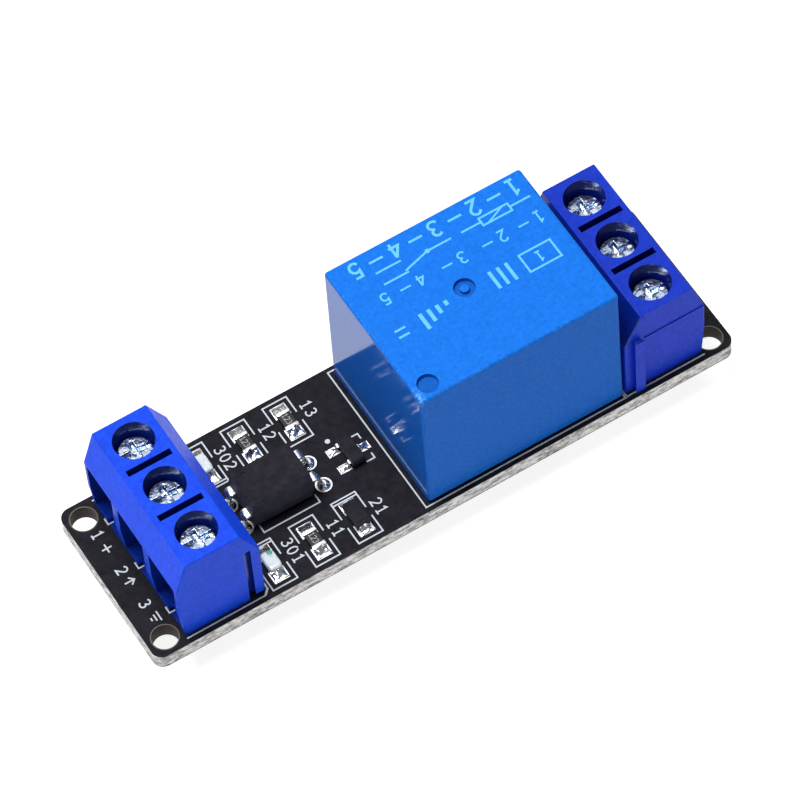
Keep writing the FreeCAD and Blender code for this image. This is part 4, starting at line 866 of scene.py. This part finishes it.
def climbing_ring(x, y, base, heights, radii, section, seed):
    """A turned surface: at each height a circle of its radius, stretched along X and Y by a
    share of the lead's own section that grows from the board to the lead."""
    wave = np.random.default_rng(seed).uniform(0, 2 * np.pi, 3)
    angle = np.linspace(0, 2 * np.pi, 28, endpoint=False)[None, :]
    share = np.linspace(0, 1, len(radii))[:, None]
    wobble = 1 + 0.04 * np.sin(2 * angle + wave[0]) + 0.03 * np.sin(3 * angle + wave[1])
    long_x = np.array(radii)[:, None] * wobble + share * section[0] * 0.35
    long_y = np.array(radii)[:, None] * wobble + share * section[1] * 0.35
    z = base + np.array(heights)[:, None] + 0 * angle
    return tube(np.stack([x + long_x * np.cos(angle), y + long_y * np.sin(angle), z], -1))


under_leads = [(x, way * PITCH, (0.8, 0.9))
               for x in (INPUT_LEG_X, OUTPUT_LEG_X) for way in (-1, 0, 1)]
under_leads.append((COMMON_X, 0.0, (0.4, 1.2)))
for way in (-1, 1):
    under_leads.append((COIL_X, way * PIN_Y, (0.6, 0.6)))
    under_leads.append((CONTACT_X, way * PIN_Y, (1.2, 0.4)))
coupler_holes = [(x, y, (0.25, 0.5)) for x in (COUPLER_LEFT_X, COUPLER_RIGHT_X)
                 for y in COUPLER_ROWS]
under_leads += coupler_holes
cones = [climbing_ring(x, y, BOARD_BOTTOM, CONE_HEIGHTS, CONE_RADII, section, number)
         for number, (x, y, section) in enumerate(under_leads)]
shells_to_piece("lead_solder_cones", cones, "solder", stands_for=("lead_solder",), crease=60)
collars = [climbing_ring(x, y, BOARD_TOP, COLLAR_HEIGHTS, COLLAR_RADII, section, 40 + number)
           for number, (x, y, section) in enumerate(coupler_holes)]
shells_to_piece("coupler_collars", collars, "solder", crease=60)

# %% [markdown]
# Under the board the copper shows through the mask as low ridges: wide ones for the switched
# circuit, from the relay's contacts to the output block, and narrow ones for the rest. A tinned
# ring surrounds each lead.

# %% Underside
def flat_ring(x, y, inner, outer, low, high):
    """A flat washer: a rectangle turned about an upright axis."""
    angle = np.linspace(0, 2 * np.pi, 36, endpoint=False)[:, None]
    radius = np.array([inner, outer, outer, inner])[None, :]
    height = np.array([low, low, high, high])[None, :] + 0 * angle
    around = [x + radius * np.cos(angle), y + radius * np.sin(angle), height]
    return tube(np.stack(around, -1), closed=True)


rings = [flat_ring(x, y, inner=0.7, outer=1.18 if max(section) > 0.55 else 0.98, low=2.965,
                   high=2.999) for x, y, section in under_leads]
shells_to_piece("underside_rings", rings, "tinned_pad")

RIDGE = (2.96, 2.985)
FRONT_HOLE_Y, BACK_HOLE_Y = COUPLER_ROWS
tracks = [stroke(points, width, *RIDGE) for points, width in (
    ([(CONTACT_X, PIN_Y), (17.2, PIN_Y), (OUTPUT_LEG_X, PITCH)], 2.4),
    ([(CONTACT_X, -PIN_Y), (17.2, -PIN_Y), (OUTPUT_LEG_X, -PITCH)], 2.4),
    ([(COMMON_X, 0.0), (OUTPUT_LEG_X, 0.0)], 2.4),
    ([(COIL_X, PIN_Y), (-2.0, PIN_Y), (-5.0, 3.0), (-5.0, -4.0), (-6.5, -5.6)], 0.6),
    ([(COIL_X, -PIN_Y), (-1.0, -6.9), (-12.0, -6.9), (-14.0, -5.0), (INPUT_LEG_X, PITCH)], 0.6),
    ([(INPUT_LEG_X, 0.0), (-17.2, 0.0), (COUPLER_LEFT_X, BACK_HOLE_Y)], 0.4),
    ([(INPUT_LEG_X, -PITCH), (-17.4, -PITCH), (COUPLER_LEFT_X, FRONT_HOLE_Y)], 0.6),
    ([(COUPLER_RIGHT_X, BACK_HOLE_Y), (-6.4, 3.0), (-6.4, 5.2)], 0.4),
    ([(COUPLER_RIGHT_X, FRONT_HOLE_Y), (-9.6, -2.8), (-9.6, -5.0)], 0.4))]
shells_to_piece("underside_tracks", staggered(tracks), "laminate", finish=buried.material)

# %% [markdown]
# A lamp is a pale block of resin over a white carrier. The block is a superellipsoid: powers of
# the sine and cosine below one square it off but leave it rounded, and its lower half is cut off
# flat on the carrier. One lamp shows a teal mark at its back end, which tells the two ends
# apart.

# %% Lamp lenses
def pillow(x, y, half_x, half_y, foot, top, power):
    """A superellipsoid with half its height under its foot, and that half pressed flat: each
    sine and cosine of its two angles goes to a power, with its sign kept."""
    turn = np.linspace(0, 2 * np.pi, 48, endpoint=False)[None, :]
    lift = np.linspace(-np.pi / 2, np.pi / 2, 33)[:, None]

    def bent(value):
        """A power that keeps the sign."""
        return np.sign(value) * np.abs(value) ** power

    px = x + half_x * bent(np.cos(lift)) * bent(np.cos(turn))
    py = y + half_y * bent(np.cos(lift)) * bent(np.sin(turn))
    pz = np.maximum(foot + (top - foot) * bent(np.sin(lift)), foot) + 0 * turn
    return tube(np.stack([px, py, pz], -1))


LENS_FOOT, LENS_TOP = PAD_TOP + 0.33, PAD_TOP + 0.8
for name, y in LAMPS:
    resin = pillow(LAMP_X, y, half_x=0.64, half_y=0.97, foot=LENS_FOOT, top=LENS_TOP, power=0.42)
    shells_to_piece(name + "_resin", [resin], "lamp_clear", stands_for=(name + "_lens",),
                    crease=80)
teal = pillow(LAMP_X + 0.2, -5.02, half_x=0.28, half_y=0.27, foot=LENS_TOP - 0.10,
              top=LENS_TOP + 0.015, power=0.7)
shells_to_piece("lamp_mark", [teal], "lamp_clear", finish=teal_mark.material, crease=80)

# %% [markdown]
# A clamp screw keeps its bevelled, slotted head from the model. Its shank is drawn in to the
# thread's core, and the thread is wound round it: a ridge with a flat crest, carried along a
# helix of 0.45 mm to the turn.

# %% Screws
HEAD_FOOT, SHANK_RADIUS, DRAWN_IN = 12.05, 1.22, 0.84


def screw_thread(x, y, low, high, core, crest, pitch):
    """A ridge on the helix z = low + pitch angle / (2 pi), fading out at both ends."""
    turns = (high - low) / pitch
    angle = np.linspace(0, 2 * np.pi * turns, int(28 * turns))[:, None]
    fade = np.clip(np.minimum(angle, angle[-1] - angle) / np.pi, 0.02, 1)
    radius = np.array([core - 0.08, core, crest, crest, core])[None, :]
    radius = np.where(radius > core, core + (radius - core) * fade, radius)
    height = np.array([0.0, -0.42, -0.10, 0.10, 0.42])[None, :] * pitch
    z = low + pitch * angle / (2 * np.pi) + height
    return tube(np.stack([x + radius * np.cos(angle), y + radius * np.sin(angle), z], -1))


for side, x, _ in BLOCKS:
    for number in WAYS:
        name, y = f"{side}_screw_{number}", (number - 2) * PITCH
        screw = softened(name, 0.035, segments=2)
        spots = rows_of(screw.data.vertices, "co")
        middle = np.array([x, y]) * MM
        from_axis = np.hypot(*(spots[:, :2] - middle).T)
        shank = (from_axis < SHANK_RADIUS * MM) & (spots[:, 2] < HEAD_FOOT * MM)
        spots[shank, :2] = middle + (spots[shank, :2] - middle) * DRAWN_IN
        screw.data.vertices.foreach_set("co", spots.ravel())
        thread = screw_thread(x, y, low=8.62, high=11.85, core=1.0, crest=1.19, pitch=0.45)
        shells_to_piece(name + "_thread", [thread], "zinc_screw", body=name, stands_for=(name,),
                        crease=50)

# %% [markdown]
# The floor is a wide, pale sheet under the tips of the leads. It glows a little, as a light
# table does, which thins the board's shadow to what a product photo shows. The light is one
# large soft box above the board: the photo's top faces are twice as bright as its front faces,
# and those are lit mostly by the floor. A faint card stands where the flat metal mirrors the
# room, and gives the solder its sheen.

# %% Stage
def flat_sheet(name, half, height):
    """A square sheet about the vertical axis: its corners are half away along X and Y."""
    mesh = bpy.data.meshes.new(name)
    corners = half * MM * np.array([[-1, -1, 0], [1, -1, 0], [1, 1, 0], [-1, 1, 0]], float)
    corners[:, 2] = height * MM
    mesh.from_pydata(corners.tolist(), [], [(0, 1, 2, 3)])
    item = bpy.data.objects.new(name, mesh)
    bpy.context.scene.collection.objects.link(item)
    return item


paper = Finish("studio_paper", roughness=0.8, Emission_Color=(1, 1, 1, 1), Emission_Strength=0.88)
paper.patchy("Base Color", 60, 0.26, 0.30)
floor = flat_sheet("floor", half=2500, height=-0.02)
floor.data.materials.append(paper.material)

world = bpy.data.worlds.new("studio")
bpy.context.scene.world = world
world.use_nodes = True
sky = world.node_tree.nodes["Background"].inputs
sky["Color"].default_value = (0.94, 0.97, 1.0, 1)
sky["Strength"].default_value = 0.18
bpy.context.scene.view_settings.view_transform = "Standard"


def softbox(name, spot, target, size, power):
    """A square area light at spot, facing target, in millimetres and watts."""
    light = bpy.data.lights.new(name, "AREA")
    light.size = size * MM
    light.energy = power
    item = bpy.data.objects.new(name, light)
    item.location = Vector(spot) * MM
    item.rotation_euler = (Vector(target) - Vector(spot)).to_track_quat("-Z", "Y").to_euler()
    bpy.context.scene.collection.objects.link(item)


softbox("key", (-70, 60, 430), (0, 0, 8), size=240, power=2.9)
softbox("card", (140, 270, 430), (0, 0, 8), size=220, power=0.16)

# %% [markdown]
# The camera stands where the photo was taken: its place, turn and lens come from fitting the
# corners of the board, the relay and the terminal blocks to the picture.

# %% Camera
EYE = (-109.887, -217.92, 388.281)
VIEW_RIGHT = (0.851877, -0.521183, -0.051704)
VIEW_DOWN = (-0.463282, -0.703812, -0.538533)
VIEW_AWAY = (0.244285, 0.482718, -0.841016)
camera = bpy.data.cameras.new("camera")
camera.lens = 244.34
camera.sensor_width = 36.0
camera.clip_start = 0.01
camera.clip_end = 20.0
eye = bpy.data.objects.new("camera", camera)
turn = Matrix((VIEW_RIGHT, [-c for c in VIEW_DOWN], [-c for c in VIEW_AWAY])).transposed()
eye.matrix_world = Matrix.Translation(Vector(EYE) * MM) @ turn.to_4x4()
bpy.context.scene.collection.objects.link(eye)
bpy.context.scene.camera = eye
